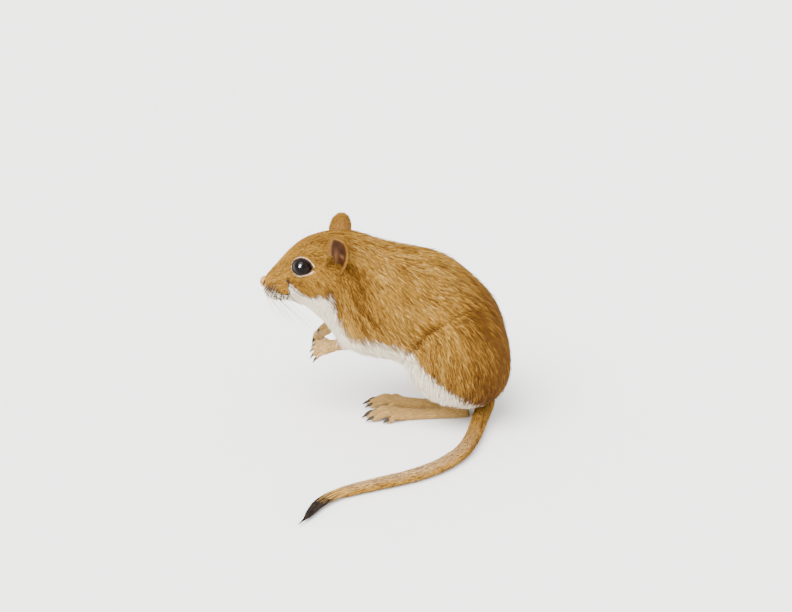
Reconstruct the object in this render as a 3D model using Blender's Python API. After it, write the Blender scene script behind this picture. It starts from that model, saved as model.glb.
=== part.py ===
"""A Mongolian gerbil at life size, sitting up on its hind feet with its forepaws held off the ground.

The animal looks along -Y, its left side is at +X, and it stands on the plane z = 0. It is a still model:
each named part of the body is one closed solid, and neighbours meet face to face across a gap of 0.3 mm.
Lengths are written in millimetres and turned into Blender's metres as each mesh is made.
"""

import math

import bmesh
import bpy
import numpy as np
from mathutils import Vector

MM = 0.001
GAP = 0.3
SIDES = {"left": 1, "right": -1}

# The trunk from the nose to the root of the tail, as rings that each lie in one plane across the body.
# Each row: top of the ring (y, z), bottom of the ring (y, z), half width, and how far the widest level is
# above the middle, as a share of the half height.
TRUNK_RINGS = np.array([
    (-49.7, 45.0, -49.6, 43.0, 2.0, 0.00),  # nose tip
    (-48.4, 46.7, -48.5, 41.0, 4.3, -0.10),
    (-45.3, 50.0, -45.7, 39.4, 6.5, -0.16),  # whisker pads
    (-41.4, 54.1, -41.7, 38.5, 8.4, -0.05),
    (-36.5, 57.7, -37.2, 37.3, 10.2, 0.05),  # eyes
    (-31.4, 60.0, -33.2, 34.4, 12.0, -0.04),
    (-25.8, 61.1, -29.7, 31.0, 13.0, -0.14),  # cheeks and ears
    (-19.4, 60.5, -27.0, 26.8, 13.5, -0.14),  # nape
    (-12.6, 58.1, -23.6, 23.6, 15.0, -0.12),  # shoulders
    (-5.0, 56.3, -17.6, 21.6, 17.0, -0.15),
    (2.8, 54.6, -10.5, 20.4, 18.9, -0.18),  # ribs
    (10.2, 51.3, -3.2, 18.4, 20.2, -0.16),  # loins
    (17.1, 45.5, 3.4, 14.6, 20.4, -0.12),
    (23.1, 37.9, 8.8, 11.0, 18.9, -0.08),  # rump
    (27.0, 29.2, 13.0, 7.9, 16.0, -0.04),
    (28.6, 20.2, 16.2, 5.6, 12.4, 0.00),
    (27.6, 12.0, 18.2, 4.3, 8.6, 0.00),
    (25.0, 8.2, 20.2, 4.4, 3.9, 0.00),  # root of the tail
])
TRUNK_SQUARENESS = 2.25  # exponent of the superellipse that each ring follows
HEAD_END = 7.0  # where the head is parted from the neck, counted in rows of the table
NECK_END = 8.5  # and the neck from the torso
HEAD_STEPS, NECK_STEPS, TORSO_STEPS = 23, 4, 21
HEAD_SIDES, BODY_SIDES = 28, 28

# Rounded swellings on the trunk: centre (x of the left one, y, z), reach, height. The right side mirrors the left.
SWELLINGS = np.array([
    (4.6, -47.2, 41.4, 3.2, 0.80),  # whisker pad
    (9.0, -36.6, 52.7, 5.0, 1.85),  # mound round the eye
    (11.5, -30.5, 44.0, 6.5, 0.90),  # cheek
    (14.5, -13.5, 38.0, 9.0, 1.30),  # shoulder
    (11.5, -20.0, 28.0, 6.5, 1.50),  # elbow under the coat
])

# Eyes, lids, nose and mouth.
EYE_CENTRE = np.array([8.7, -36.1, 51.6])
EYE_LOOK = np.array([0.90, -0.38, 0.20])
EYE_RADIUS = 3.1
LID_RADIUS, LID_CLEARANCE = 0.5, 0.2
LID_SPREAD_ACROSS, LID_SPREAD_UP = math.radians(66), math.radians(50)
NOSE_PAD_CENTRE, NOSE_PAD_RADII = np.array([0.0, -49.4, 43.8]), (1.55, 1.05, 1.25)
NOSTRIL_RADIUS = 0.34
MOUTH_GROOVE_RADIUS, MOUTH_CORNER_RADIUS, LIP_SPLIT_RADIUS = 0.34, 0.12, 0.24
MOUTH_FRONT_ROW, MOUTH_CORNER_ROW, MOUTH_CORNER_ANGLE = 1.0, 2.3, math.radians(46)

# Ears: a curved cup that narrows into the head. The left one leans a little further out.
EAR_ROOT = np.array([10.3, -26.2, 51.2])
EAR_UP = {1: np.array([0.40, 0.12, 0.91]), -1: np.array([0.24, 0.06, 0.96])}
EAR_OPENS = np.array([0.80, -0.60, 0.0])
EAR_LENGTH = 11.6
EAR_HALF_WIDTH, EAR_WIDEST_AT = 4.1, 0.60
EAR_CUP_DEPTH = np.array([2.6, 2.8, 2.6, 2.1, 1.4, 0.5])
EAR_THICKNESS = 0.75
EAR_LEAN_BACK = 0.9

# Hind legs.
THIGH_CENTRE, THIGH_RADII = np.array([13.4, 10.6, 23.7]), np.array([10.3, 16.2, 16.2])
THIGH_KNEE_DROP, THIGH_BACK_FULLNESS, THIGH_FRONT_TRIM = 0.06, 0.30, 0.10
HEELS = {1: np.array([4.9, 16.0]), -1: np.array([1.4, 16.0])}  # the right foot is set nearer to the middle
FOOT_SPLAY = math.radians(4)
SOLE_MIDDLE = 0.44  # how high the widest level of the foot is, as a share of its height
FOOT_STEPS = np.array([  # distance in front of the heel, half width, height
    (0.0, 0.9, 2.2),
    (0.7, 1.8, 3.8),
    (2.6, 2.3, 4.8),
    (5.5, 2.4, 4.3),
    (10.0, 2.3, 3.2),
    (16.0, 2.5, 2.9),
    (21.0, 3.0, 3.2),
    (23.6, 3.0, 3.1),
    (25.2, 2.2, 2.4),
])
SHANK = np.array([(0.0, 13.0, 2.8), (0.6, 12.0, 5.0), (2.6, 10.2, 8.4), (5.4, 7.6, 14.0)])  # x from the left heel
SHANK_FOLLOWS = np.array([1.0, 1.0, 0.6, 0.0])  # how far each point of the right shank keeps to its own heel
SHANK_RADII = np.array([1.8, 2.2, 3.1, 4.4])
TOES = np.array([  # offset to the outside at the root, direction in degrees, length, radius, start behind the front
    (-2.6, -14, 4.2, 0.85, 3.0),
    (-1.7, -6, 7.6, 1.05, 1.2),
    (-0.1, 0, 8.4, 1.10, 1.0),
    (1.5, 7, 7.6, 1.05, 1.4),
    (2.7, 18, 5.0, 0.90, 3.4),
])
LONG_TOE = 6.0  # a toe no longer than this has a shorter claw
HIND_CLAW_LENGTH, HIND_CLAW_RADIUS, HIND_CLAW_BEND = 2.6, 0.62, 0.38

# Forelegs. The left hand is lower and flatter than the right one, and both turn their backs outwards.
ELBOW = np.array([9.0, -16.5, 29.5])
WRISTS = {1: np.array([6.5, -26.5, 25.2]), -1: np.array([6.0, -28.4, 27.8])}
HAND_DROPS = {1: math.radians(12), -1: math.radians(44)}
HAND_ROLL = math.radians(42)
FOREARM_RADII = np.array([4.2, 3.5, 2.8, 2.3])
PALM_LENGTH, PALM_RADII, PALM_FLATNESS = 4.9, (2.45, 2.6, 1.8), 0.66
FINGERS = np.array([  # offset to the outside, direction in degrees, length, radius
    (-1.80, -14, 3.1, 0.66),
    (-0.62, -5, 3.9, 0.70),
    (0.62, 5, 3.9, 0.70),
    (1.80, 14, 3.2, 0.66),
])
THUMB = np.array([-2.4, -38, 1.6, 0.55])
THUMB_SETBACK, FINGER_SETBACK = 2.7, 1.3
FORE_CLAW_LENGTH, FORE_CLAW_RADIUS, FORE_CLAW_BEND = 1.8, 0.45, 0.42

# The tail lies on the ground and sweeps round the left side.
TAIL_PATH = np.array([
    (-0.8, 21.0, 9.6), (0.2, 21.6, 6.4), (2.8, 21.6, 4.1), (6.6, 20.6, 3.15), (11.2, 19.4, 2.9),
    (16.6, 18.2, 2.8), (22.6, 16.8, 2.7), (28.4, 15.1, 2.6), (33.8, 13.1, 2.5), (39.0, 10.2, 2.4),
    (43.7, 6.3, 2.3), (47.8, 1.6, 2.2), (51.2, -3.8, 2.1), (54.0, -9.6, 2.0), (56.6, -15.6, 1.8),
    (59.4, -21.2, 1.7), (62.8, -25.8, 1.6), (67.0, -29.0, 1.5), (71.6, -31.0, 1.3),
])
TAIL_RADIUS_ROOT, TAIL_RADIUS_END = 3.1, 1.5
TAIL_PARTS = (("tail_base", 0.0, 0.29), ("tail_middle", 0.29, 0.56), ("tail_end", 0.56, 0.82))
TUFT_START = 0.82
TUFT_ROWS = np.array([  # where the row starts and ends along the tail, number of locks, lift of their tips
    (0.835, 0.945, 6, 0.3),
    (0.880, 0.995, 5, 0.5),
    (0.925, 1.030, 5, 0.5),
    (0.955, 1.050, 3, 0.3),
])
TUFT_LOCK_WIDTH, TUFT_LOCK_THICKNESS = 2.1, 0.8
TUFT_CORE_TAPER = 0.80

COAT_TAWNY = (0.47, 0.26, 0.10, 1)
COAT_PALE = (0.80, 0.72, 0.60, 1)
SKIN_PINK = (0.55, 0.34, 0.24, 1)
TUFT_BLACK = (0.03, 0.025, 0.02, 1)
EYE_BLACK = (0.01, 0.008, 0.008, 1)


def clear_scene():
    for item in list(bpy.data.objects):
        bpy.data.objects.remove(item)


def material(name, colour, roughness):
    made = bpy.data.materials.new(name)
    made.use_nodes = True
    shader = made.node_tree.nodes["Principled BSDF"]
    shader.inputs["Base Color"].default_value = colour
    shader.inputs["Roughness"].default_value = roughness
    shader.inputs["Metallic"].default_value = 0.0
    return made


def unit(vectors):
    return vectors / np.linalg.norm(vectors, axis=-1, keepdims=True)


def mirrored(point, side):
    """A point of the left side, or its mirror image for the right one."""
    return np.asarray(point) * (side, 1, 1)


def natural_spline(values, at):
    """A natural cubic spline through the rows of values, which stand at 0, 1, 2 and so on, read at `at`."""
    values = np.asarray(values, float)
    at = np.atleast_1d(at)
    count = len(values)
    system = np.diag(np.full(count, 4.0)) + np.diag(np.ones(count - 1), 1) + np.diag(np.ones(count - 1), -1)
    system[0, :2] = system[-1, -2:] = 0
    system[0, 0] = system[-1, -1] = 1
    right = np.zeros_like(values)
    right[1:-1] = 6 * (values[2:] - 2 * values[1:-1] + values[:-2])
    bend = np.linalg.solve(system, right)
    row = np.clip(at.astype(int), 0, count - 2)
    step = (at - row).reshape((-1,) + (1,) * (values.ndim - 1))
    back = 1 - step
    return (
        back * values[row] + step * values[row + 1]
        + ((back**3 - back) * bend[row] + (step**3 - step) * bend[row + 1]) / 6
    )


def mesh_object(name, bm):
    bmesh.ops.recalc_face_normals(bm, faces=bm.faces)
    mesh = bpy.data.meshes.new(name)
    bm.to_mesh(mesh)
    bm.free()
    made = bpy.data.objects.new(name, mesh)
    bpy.context.scene.collection.objects.link(made)
    return made


def loft(name, rings, endless=False):
    """A closed body through rings of points, with a face over each end, or endless like a hoop."""
    bm = bmesh.new()
    loops = [[bm.verts.new(Vector(point) * MM) for point in ring] for ring in rings]
    for first, second in zip(loops, loops[1:] + loops[:1] if endless else loops[1:]):
        for a, b, c, d in zip(first, first[1:] + first[:1], second[1:] + second[:1], second):
            bm.faces.new((a, b, c, d))
    if not endless:
        bm.faces.new(loops[0])
        bm.faces.new(loops[-1])
    return mesh_object(name, bm)


def tube_rings(path, radii, sides, flatness=1.0, level=None):
    """A round profile carried along a path without twisting. flatness scales it square to the level direction."""
    path = np.asarray(path, float)
    along = unit(np.gradient(path, axis=0))
    turn = np.linspace(0, 2 * math.pi, sides, endpoint=False)
    if level is None:
        level = (1, 0, 0) if abs(along[0][0]) < 0.8 else (0, 0, 1)
    across = unit(np.cross(along[0], level))
    rings = []
    for point, way, radius in zip(path, along, radii):
        across = unit(across - way * (across @ way))
        raised = np.cross(way, across)
        rings.append(
            point + radius * (np.outer(np.cos(turn) * flatness, across) + np.outer(np.sin(turn), raised))
        )
    return np.array(rings)


def on_ground(rings):
    """The rings with what would reach below the ground pressed flat onto it."""
    rings[..., 2] = np.maximum(rings[..., 2], 0.0)
    return rings


def ball(name, centre, radii, across, around):
    """An ellipsoid."""
    bm = bmesh.new()
    bmesh.ops.create_uvsphere(bm, u_segments=across, v_segments=around, radius=1.0)
    for vert in bm.verts:
        vert.co = Vector(np.asarray(centre) + np.array(vert.co) * radii) * MM
    return mesh_object(name, bm)


def apply_modifiers(item):
    bpy.context.view_layer.update()
    evaluated = item.evaluated_get(bpy.context.evaluated_depsgraph_get())
    item.data = bpy.data.meshes.new_from_object(evaluated)
    item.modifiers.clear()


def keep_largest_surface(item):
    """Drops every closed surface of the mesh but the one with the most faces."""
    bm = bmesh.new()
    bm.from_mesh(item.data)
    unseen, surfaces = set(bm.faces), []
    while unseen:
        queue = [unseen.pop()]
        found = list(queue)
        while queue:
            for edge in queue.pop().edges:
                fresh = [face for face in edge.link_faces if face in unseen]
                unseen.difference_update(fresh)
                queue.extend(fresh)
                found.extend(fresh)
        surfaces.append(found)
    surfaces.sort(key=len)
    scraps = [face for surface in surfaces[:-1] for face in surface]
    bmesh.ops.delete(bm, geom=scraps, context="FACES")
    bm.to_mesh(item.data)
    bm.free()


def combine(item, operation, tools):
    """Joins the tools to an object, or cuts them from it, in one Boolean on a collection, which then goes."""
    group = bpy.data.collections.new("tools")
    bpy.context.scene.collection.children.link(group)
    for tool in tools:
        bpy.context.scene.collection.objects.unlink(tool)
        group.objects.link(tool)
    joined = item.modifiers.new("combine", "BOOLEAN")
    joined.operation = operation
    joined.operand_type = "COLLECTION"
    joined.collection = group
    joined.solver = "EXACT"
    apply_modifiers(item)
    for tool in tools:
        bpy.data.objects.remove(tool)
    bpy.data.collections.remove(group)
    keep_largest_surface(item)
    return item


def finish(item, name, coat):
    item.name = name
    item.data.name = name
    item.data.materials.clear()
    item.data.materials.append(coat)
    item.data.shade_smooth()
    item.data.set_sharp_from_angle(angle=math.radians(50))
    return item


# The trunk


def trunk_ring(row, sides, grow=0.0):
    """One ring of the trunk at a row of TRUNK_RINGS, which may lie between two, as points from its top.

    x = half width * |sin|^(2/n), and the way from the bottom to the top = half height * |cos|^(2/n), lifted by
    the widest level times sin squared. Each swelling then adds height * exp(-(distance / reach)^2) outwards.
    """
    top_y, top_z, bottom_y, bottom_z, half_width, widest = natural_spline(TRUNK_RINGS, row)[0]
    turn = np.linspace(0, 2 * math.pi, sides, endpoint=False)
    top, bottom = np.array([0, top_y, top_z]), np.array([0, bottom_y, bottom_z])
    middle, rise = (top + bottom) / 2, (top - bottom) / 2
    sine, cosine = np.sin(turn), np.cos(turn)
    power = 2 / TRUNK_SQUARENESS
    x = half_width * np.sign(sine) * np.abs(sine) ** power
    height = np.sign(cosine) * np.abs(cosine) ** power + widest * sine**2
    points = middle + np.outer(height, rise)
    points[:, 0] = x
    outwards = unit(points - (middle + widest * rise))
    lift = np.full(sides, grow)
    for *centre, reach, swell in SWELLINGS:
        for side in SIDES.values():
            distance = np.linalg.norm(points - mirrored(centre, side), axis=1)
            lift += swell * np.exp(-((distance / reach) ** 2))
    return points + outwards * lift[:, None]


def ring_normal(ring):
    """The direction across a ring's plane, towards the tail."""
    return unit(np.cross(ring[len(ring) // 4] - ring[0], ring[len(ring) // 2] - ring[0]))


def trunk_point(row, turn):
    """A point of the trunk's surface at a row of the table, turn radians round from its top."""
    sides = 180
    ring = trunk_ring(row, sides)
    return ring[int(round(turn / (2 * math.pi) * sides)) % sides]


def trunk_length(name, start, end, steps, sides, grow=0.0, parted=False):
    """A length of the trunk. A parted one starts a gap behind the plane where the one before it ends."""
    rings = [trunk_ring(row, sides, grow) for row in np.linspace(start, end, steps)]
    if parted:
        rings[0] = rings[0] + ring_normal(rings[0]) * GAP
    return loft(name, rings)


def eye_axes(side):
    """The way the eye looks, the way to its back corner and the way up across it."""
    look = unit(mirrored(EYE_LOOK, side))
    back = unit(np.cross((0, 0, 1), look) * side)
    return look, back, np.cross(look, back) * side


def lids(side):
    """Upper and lower lid as one almond ring, laid on a ball just outside the eye's socket."""
    look, back, up = eye_axes(side)
    turn = np.linspace(0, 2 * math.pi, 24, endpoint=False)
    spread = 1 / np.hypot(np.cos(turn) / LID_SPREAD_ACROSS, np.sin(turn) / LID_SPREAD_UP)
    way = np.outer(np.cos(turn), back) + np.outer(np.sin(turn), up)
    ring = np.outer(np.cos(spread), look) + np.sin(spread)[:, None] * way
    centre = mirrored(EYE_CENTRE, side) + ring * (EYE_RADIUS + GAP + LID_CLEARANCE)
    small = np.linspace(0, 2 * math.pi, 6, endpoint=False)
    around = unit(np.roll(centre, -1, 0) - np.roll(centre, 1, 0))
    rings = [
        point + LID_RADIUS * (np.outer(np.cos(small), out) + np.outer(np.sin(small), np.cross(out, along)))
        for point, out, along in zip(centre, ring, around)
    ]
    return loft("lids", rings, endless=True)


def mouth_grooves():
    """Round cutters along the line of the mouth, from corner to corner, and up the split of the upper lip."""
    share = np.linspace(-1, 1, 15)
    row = MOUTH_FRONT_ROW + (MOUTH_CORNER_ROW - MOUTH_FRONT_ROW) * share**2
    turn = math.pi - share * MOUTH_CORNER_ANGLE
    line = np.array([trunk_point(r, t) for r, t in zip(row, turn)])
    radii = np.full(len(line), MOUTH_GROOVE_RADIUS)
    radii[[0, -1]] = MOUTH_CORNER_RADIUS
    mouth = loft("mouth_line", tube_rings(line, radii, 6))
    split = np.array([trunk_point(r, math.pi) for r in np.linspace(MOUTH_FRONT_ROW + 0.1, 0.08, 5)])
    return [mouth, loft("lip_split", tube_rings(split, np.full(len(split), LIP_SPLIT_RADIUS), 6))]


def nostril(side):
    """A small comma-shaped pit at the side of the nose pad."""
    start = NOSE_PAD_CENTRE + np.array([0.72 * side, -1.0, 0.05])
    path = start + np.array([(0, -0.3, 0), (0.12 * side, 0.3, 0.05), (0.5 * side, 0.9, 0.35)])
    return loft("nostril", tube_rings(path, (NOSTRIL_RADIUS, NOSTRIL_RADIUS, 0.15), 6))


def head(coat):
    made = trunk_length("head", 0.0, HEAD_END, HEAD_STEPS, HEAD_SIDES)
    nose_pad = ball("nose_pad", NOSE_PAD_CENTRE, NOSE_PAD_RADII, 14, 8)
    combine(made, "UNION", [nose_pad, lids(1), lids(-1)])
    cutters = mouth_grooves()
    for side in SIDES.values():
        cutters.append(ball("socket", mirrored(EYE_CENTRE, side), [EYE_RADIUS + GAP] * 3, 20, 12))
        cutters.append(nostril(side))
    combine(made, "DIFFERENCE", cutters)
    return finish(made, "head", coat)


def eye(name, side, coat):
    return finish(ball(name, mirrored(EYE_CENTRE, side), [EYE_RADIUS] * 3, 18, 11), name, coat)


def ear(name, side, coat):
    """A cup whose cross sections are crescents: half width and cup depth follow the tables from root to tip."""
    up = unit(mirrored(EAR_UP[side], side))
    opens = mirrored(EAR_OPENS, side)
    opens = unit(opens - up * (opens @ up))
    across = np.cross(up, opens)
    share = np.sin(np.linspace(0, math.pi / 2, 15))
    below, above = share / EAR_WIDEST_AT, (share - EAR_WIDEST_AT) / (1.02 - EAR_WIDEST_AT)
    half_width = EAR_HALF_WIDTH * np.where(
        share < EAR_WIDEST_AT, 0.62 + 0.38 * np.sin(below * math.pi / 2), np.sqrt(np.maximum(0.0, 1 - above**2))
    )
    depth = natural_spline(EAR_CUP_DEPTH, share * (len(EAR_CUP_DEPTH) - 1))
    over = np.linspace(-1, 1, 9)
    rings = []
    for h, wide, deep in zip(share, half_width, depth):
        middle = mirrored(EAR_ROOT, side) + up * (h * EAR_LENGTH) - opens * (EAR_LEAN_BACK * h * h)
        thick = EAR_THICKNESS * (1 - 0.35 * over**2)
        back = middle + np.outer(over * wide, across) - np.outer(deep * (1 - over**2) + thick / 2, opens)
        front = middle + np.outer(over * (wide - 0.15), across) - np.outer(deep * (1 - over**2) - thick / 2, opens)
        rings.append(np.concatenate([back, front[::-1]]))
    made = loft(name, rings)
    rooted = trunk_length("head_around", 2.0, NECK_END, 20, HEAD_SIDES, grow=GAP)
    combine(made, "DIFFERENCE", [rooted])
    return finish(made, name, coat)


# The hind legs


def thigh_lobe(name, side, grow=0.0):
    """An ellipsoid whose front half sags towards the knee and whose lower back is fuller.

    Its reach grows by the back fullness * backward share * downward share, and shrinks by the front trim *
    forward share * downward share.
    """
    made = ball(name, (0, 0, 0), (1, 1, 1), 22, 15)
    for vert in made.data.vertices:
        direction = np.array(vert.co) / MM
        backward, forward = max(0.0, direction[1]), max(0.0, -direction[1])
        downward = max(0.0, -direction[2])
        shape = direction * (THIGH_RADII + grow)
        shape[1:] *= 1 + downward * (THIGH_BACK_FULLNESS * backward - THIGH_FRONT_TRIM * forward)
        shape[2] += THIGH_KNEE_DROP * shape[1] * (1 if shape[1] < 0 else 0.25)
        vert.co = Vector(mirrored(shape + THIGH_CENTRE, side)) * MM
    if side < 0:
        made.data.flip_normals()
    return made


def foot_point(side, forward, outward, height):
    """A point of the foot: so far in front of the heel, to the outside and above the ground."""
    ahead = np.array([math.sin(FOOT_SPLAY), -math.cos(FOOT_SPLAY)])
    outside = np.array([math.cos(FOOT_SPLAY), math.sin(FOOT_SPLAY)])
    x, y = HEELS[side] + ahead * forward + outside * outward
    return np.array([x * side, y, height])


def sole(side):
    """Heel to ball of the foot: rounded rings that are cut level at the ground."""
    turn = np.linspace(0, 2 * math.pi, 14, endpoint=False)
    rings = []
    for forward, half_width, height in natural_spline(FOOT_STEPS, np.linspace(0, len(FOOT_STEPS) - 1, 15)):
        level = np.maximum(0.0, height * (SOLE_MIDDLE + (1 - SOLE_MIDDLE) * np.cos(turn)))
        rings.append([foot_point(side, forward, w, h) for w, h in zip(half_width * np.sin(turn), level)])
    return loft("sole", rings)


def claw(start, ahead, length, radius, bend):
    """A curved tapering claw: its path leaves along `ahead` and bends down."""
    share = np.linspace(0, 1, 4)
    path = start + np.outer(length * share, ahead) + np.outer(bend * length * share**2, (0, 0, -1))
    return loft("claw", tube_rings(path, radius * (1.0 - 0.80 * share), 5))


def toe(side, outward, degrees, length, radius, behind):
    """One hind toe, arched over its knuckle, and its claw."""
    angle = math.radians(degrees)
    base = FOOT_STEPS[-1][0] - behind
    share = np.array([-0.15, 0.15, 0.45, 0.75, 0.95, 1.05])
    height = np.array([1.9, 2.2, 2.5, 1.7, 1.15, 1.05]) * (radius / 1.05)
    path = np.array([
        foot_point(side, base + length * s * math.cos(angle), outward + length * s * math.sin(angle), h)
        for s, h in zip(share, height)
    ])
    thick = radius * np.array([0.95, 1.0, 1.06, 0.95, 0.8, 0.35])
    rings = on_ground(tube_rings(path, thick, 6))
    ahead = unit((path[-1] - path[2]) * (1, 1, 0))
    start = path[-2] + np.array([0, 0, 0.35])
    claw_length = HIND_CLAW_LENGTH * (1.0 if length > LONG_TOE else 0.75)
    return [loft("toe", rings), claw(start, ahead, claw_length, HIND_CLAW_RADIUS, HIND_CLAW_BEND)]


def hind_foot(name, side, coat):
    made = sole(side)
    path = SHANK + (HEELS[1][0], 0, 0)
    path[:, 0] += SHANK_FOLLOWS * (HEELS[side][0] - HEELS[1][0])
    shank = loft("shank", tube_rings(mirrored(path, side), SHANK_RADII, 12))
    digits = [piece for row in TOES for piece in toe(side, *row)]
    combine(made, "UNION", [shank] + digits)
    rump = trunk_length("rump_around", 9.0, len(TRUNK_RINGS) - 1, 20, BODY_SIDES, grow=GAP)
    combine(made, "DIFFERENCE", [thigh_lobe("thigh_around", side, GAP), rump])
    return finish(made, name, coat)


# The forelegs


def forearm_path(side):
    wrist, elbow = mirrored(WRISTS[side], side), mirrored(ELBOW, side)
    return elbow + (wrist - elbow) * np.linspace(0, 1, 4)[:, None]


def foreleg(name, side, coat):
    made = loft(name, tube_rings(forearm_path(side), FOREARM_RADII, 14))
    around = trunk_length("torso_around", 5.6, 12.0, 22, BODY_SIDES, grow=GAP)
    combine(made, "DIFFERENCE", [around])
    return finish(made, name, coat)


def forepaw(name, side, coat):
    """Palm, four fingers, a small thumb and their claws, hanging from the wrist."""
    path = forearm_path(side)
    arm = unit(path[-1] - path[-2])
    drop = HAND_DROPS[side]
    ahead = np.array([0, -math.cos(drop), -math.sin(drop)])
    upright, sideways = np.array([0, -math.sin(drop), math.cos(drop)]), np.array([side, 0, 0])
    raised = upright * math.cos(HAND_ROLL) + sideways * math.sin(HAND_ROLL)
    outside = sideways * math.cos(HAND_ROLL) - upright * math.sin(HAND_ROLL)
    wrist = path[-1] + arm * GAP

    def place(forward, outward, height):
        return wrist + ahead * forward + outside * outward + raised * height

    cuff = tube_rings(path + arm * GAP, FOREARM_RADII, 12, 1.0, outside)[-1:]
    spine = np.array([place(forward, 0, 0.1) for forward in np.linspace(0.5, 1.0, 3) * PALM_LENGTH])
    palm = loft("palm", np.concatenate([cuff, tube_rings(spine, PALM_RADII, 12, PALM_FLATNESS, outside)]))
    pieces = []
    for outward, degrees, length, radius in [*FINGERS, THUMB]:
        angle = math.radians(degrees)
        thumb = length < FINGERS[:, 2].min()
        root = PALM_LENGTH - (THUMB_SETBACK if thumb else FINGER_SETBACK)
        share = np.array([-0.2, 0.25, 0.6, 0.9, 1.08])
        fall = np.array([0.0, 0.25, -0.15, -1.0, -1.35]) * (length / 4.0)
        spots = np.array([
            place(root + length * s * math.cos(angle), outward + length * s * math.sin(angle), f)
            for s, f in zip(share, fall)
        ])
        thick = radius * np.array([1.0, 1.0, 1.0, 0.85, 0.35])
        pieces.append(loft("finger", tube_rings(spots, thick, 6)))
        out = unit(spots[-1] - spots[-3])
        claw_length = FORE_CLAW_LENGTH * (0.5 if thumb else 1.0)
        pieces.append(claw(spots[-2] + raised * 0.1, out, claw_length, FORE_CLAW_RADIUS, FORE_CLAW_BEND))
    combine(palm, "UNION", pieces)
    return finish(palm, name, coat)


# The tail


def tail_course(share):
    """Points along the tail at shares of its length."""
    return natural_spline(TAIL_PATH, share * (len(TAIL_PATH) - 1))


def tail_radius(share):
    return TAIL_RADIUS_ROOT + (TAIL_RADIUS_END - TAIL_RADIUS_ROOT) * share


def tail_part(name, start, end, coat):
    share = np.linspace(start, end, 11)
    rings = on_ground(tube_rings(tail_course(share), tail_radius(share), 12))
    if start > 0:
        way = unit(rings[1].mean(0) - rings[0].mean(0))
        rings[0] = rings[0] + way * (1, 1, 0) * GAP
    made = loft(name, rings)
    if start == 0:
        rump = trunk_length("rump_around", 11.0, len(TRUNK_RINGS) - 1, 16, BODY_SIDES, grow=GAP)
        combine(made, "DIFFERENCE", [rump])
    return finish(made, name, coat)


def tuft_core_radius(share):
    """Radius of the tuft's core: tail radius * (1 - taper * reach^2), where reach runs from its root to its tip."""
    reach = np.clip((share - TUFT_START) / (1 - TUFT_START), 0, 1)
    return tail_radius(share) * (1 - TUFT_CORE_TAPER * reach**2)


def tuft_lock(start, end, turn, lift):
    """A flat tapered lock that lies along the tail's course on one side of its core and lifts at its tip.

    Its middle line = course + away * (0.6 * core radius + lift * share^2), its half width = a half sine
    from the root that runs out to a point.
    """
    share = np.linspace(0, 1, 5)
    along = start + (end - start) * share
    course = tail_course(along)
    ahead = unit(np.gradient(course, axis=0))
    level = unit(np.cross(ahead, (0, 0, 1)))
    away = level * math.cos(turn) + np.cross(level, ahead) * math.sin(turn)
    side = np.cross(ahead, away)
    path = course + away * (0.6 * tuft_core_radius(along) + lift * share**2)[:, None]
    wide = TUFT_LOCK_WIDTH / 2 * (0.06 + 0.94 * np.cos(share * math.pi / 2) ** 0.8)
    thick = TUFT_LOCK_THICKNESS / 2 * (1 - 0.75 * share)
    rings = np.stack([
        path + side * wide[:, None], path + away * thick[:, None],
        path - side * wide[:, None], path - away * thick[:, None],
    ], axis=1)
    return loft("lock", on_ground(rings))


def tail_tuft(name, coat):
    """The brush at the end of the tail: a core that tapers to the tip, with rows of locks lying along it."""
    share = np.linspace(TUFT_START, 1.0, 9)
    path = tail_course(share)
    path[0] += unit((path[1] - path[0]) * (1, 1, 0)) * GAP
    made = loft(name, on_ground(tube_rings(path, tuft_core_radius(share), 10)))
    locks = []
    for row, (start, end, count, lift) in enumerate(TUFT_ROWS):
        turns = np.linspace(-0.06, 1.06, int(count)) * math.pi
        for number, turn in enumerate(turns):
            stagger = 0.012 * math.sin(2.4 * number + row)
            locks.append(tuft_lock(start + stagger, end + 2 * stagger, turn, lift))
    combine(made, "UNION", locks)
    return finish(made, name, coat)


def stand_on_origin(items):
    """Moves the whole animal so that the middle of its footprint is at x = y = 0."""
    corners = np.array([vert.co[:2] for item in items for vert in item.data.vertices])
    middle = (corners.min(0) + corners.max(0)) / 2
    for item in items:
        for vert in item.data.vertices:
            vert.co -= Vector((*middle, 0))


def main():
    clear_scene()
    tawny = material("coat_tawny", COAT_TAWNY, 0.85)
    pale = material("coat_pale", COAT_PALE, 0.85)
    bare = material("bare_skin", SKIN_PINK, 0.6)
    black = material("tuft_black", TUFT_BLACK, 0.8)
    glossy = material("eye_black", EYE_BLACK, 0.05)
    parts = [head(tawny)]
    parts.append(finish(trunk_length("neck", HEAD_END, NECK_END, NECK_STEPS, HEAD_SIDES, parted=True), "neck", tawny))
    torso = trunk_length("torso", NECK_END, len(TRUNK_RINGS) - 1, TORSO_STEPS, BODY_SIDES, parted=True)
    combine(torso, "DIFFERENCE", [thigh_lobe("thigh_around", side, GAP) for side in SIDES.values()])
    parts.append(finish(torso, "torso", tawny))
    for word, side in SIDES.items():
        parts.append(eye("eye_" + word, side, glossy))
        parts.append(ear("ear_" + word, side, bare))
        parts.append(finish(thigh_lobe("thigh", side), "thigh_" + word, tawny))
        parts.append(hind_foot("hind_foot_" + word, side, pale))
        parts.append(foreleg("foreleg_" + word, side, pale))
        parts.append(forepaw("forepaw_" + word, side, pale))
    for name, start, end in TAIL_PARTS:
        parts.append(tail_part(name, start, end, tawny))
    parts.append(tail_tuft("tail_tuft", black))
    stand_on_origin(parts)


main()
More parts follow.
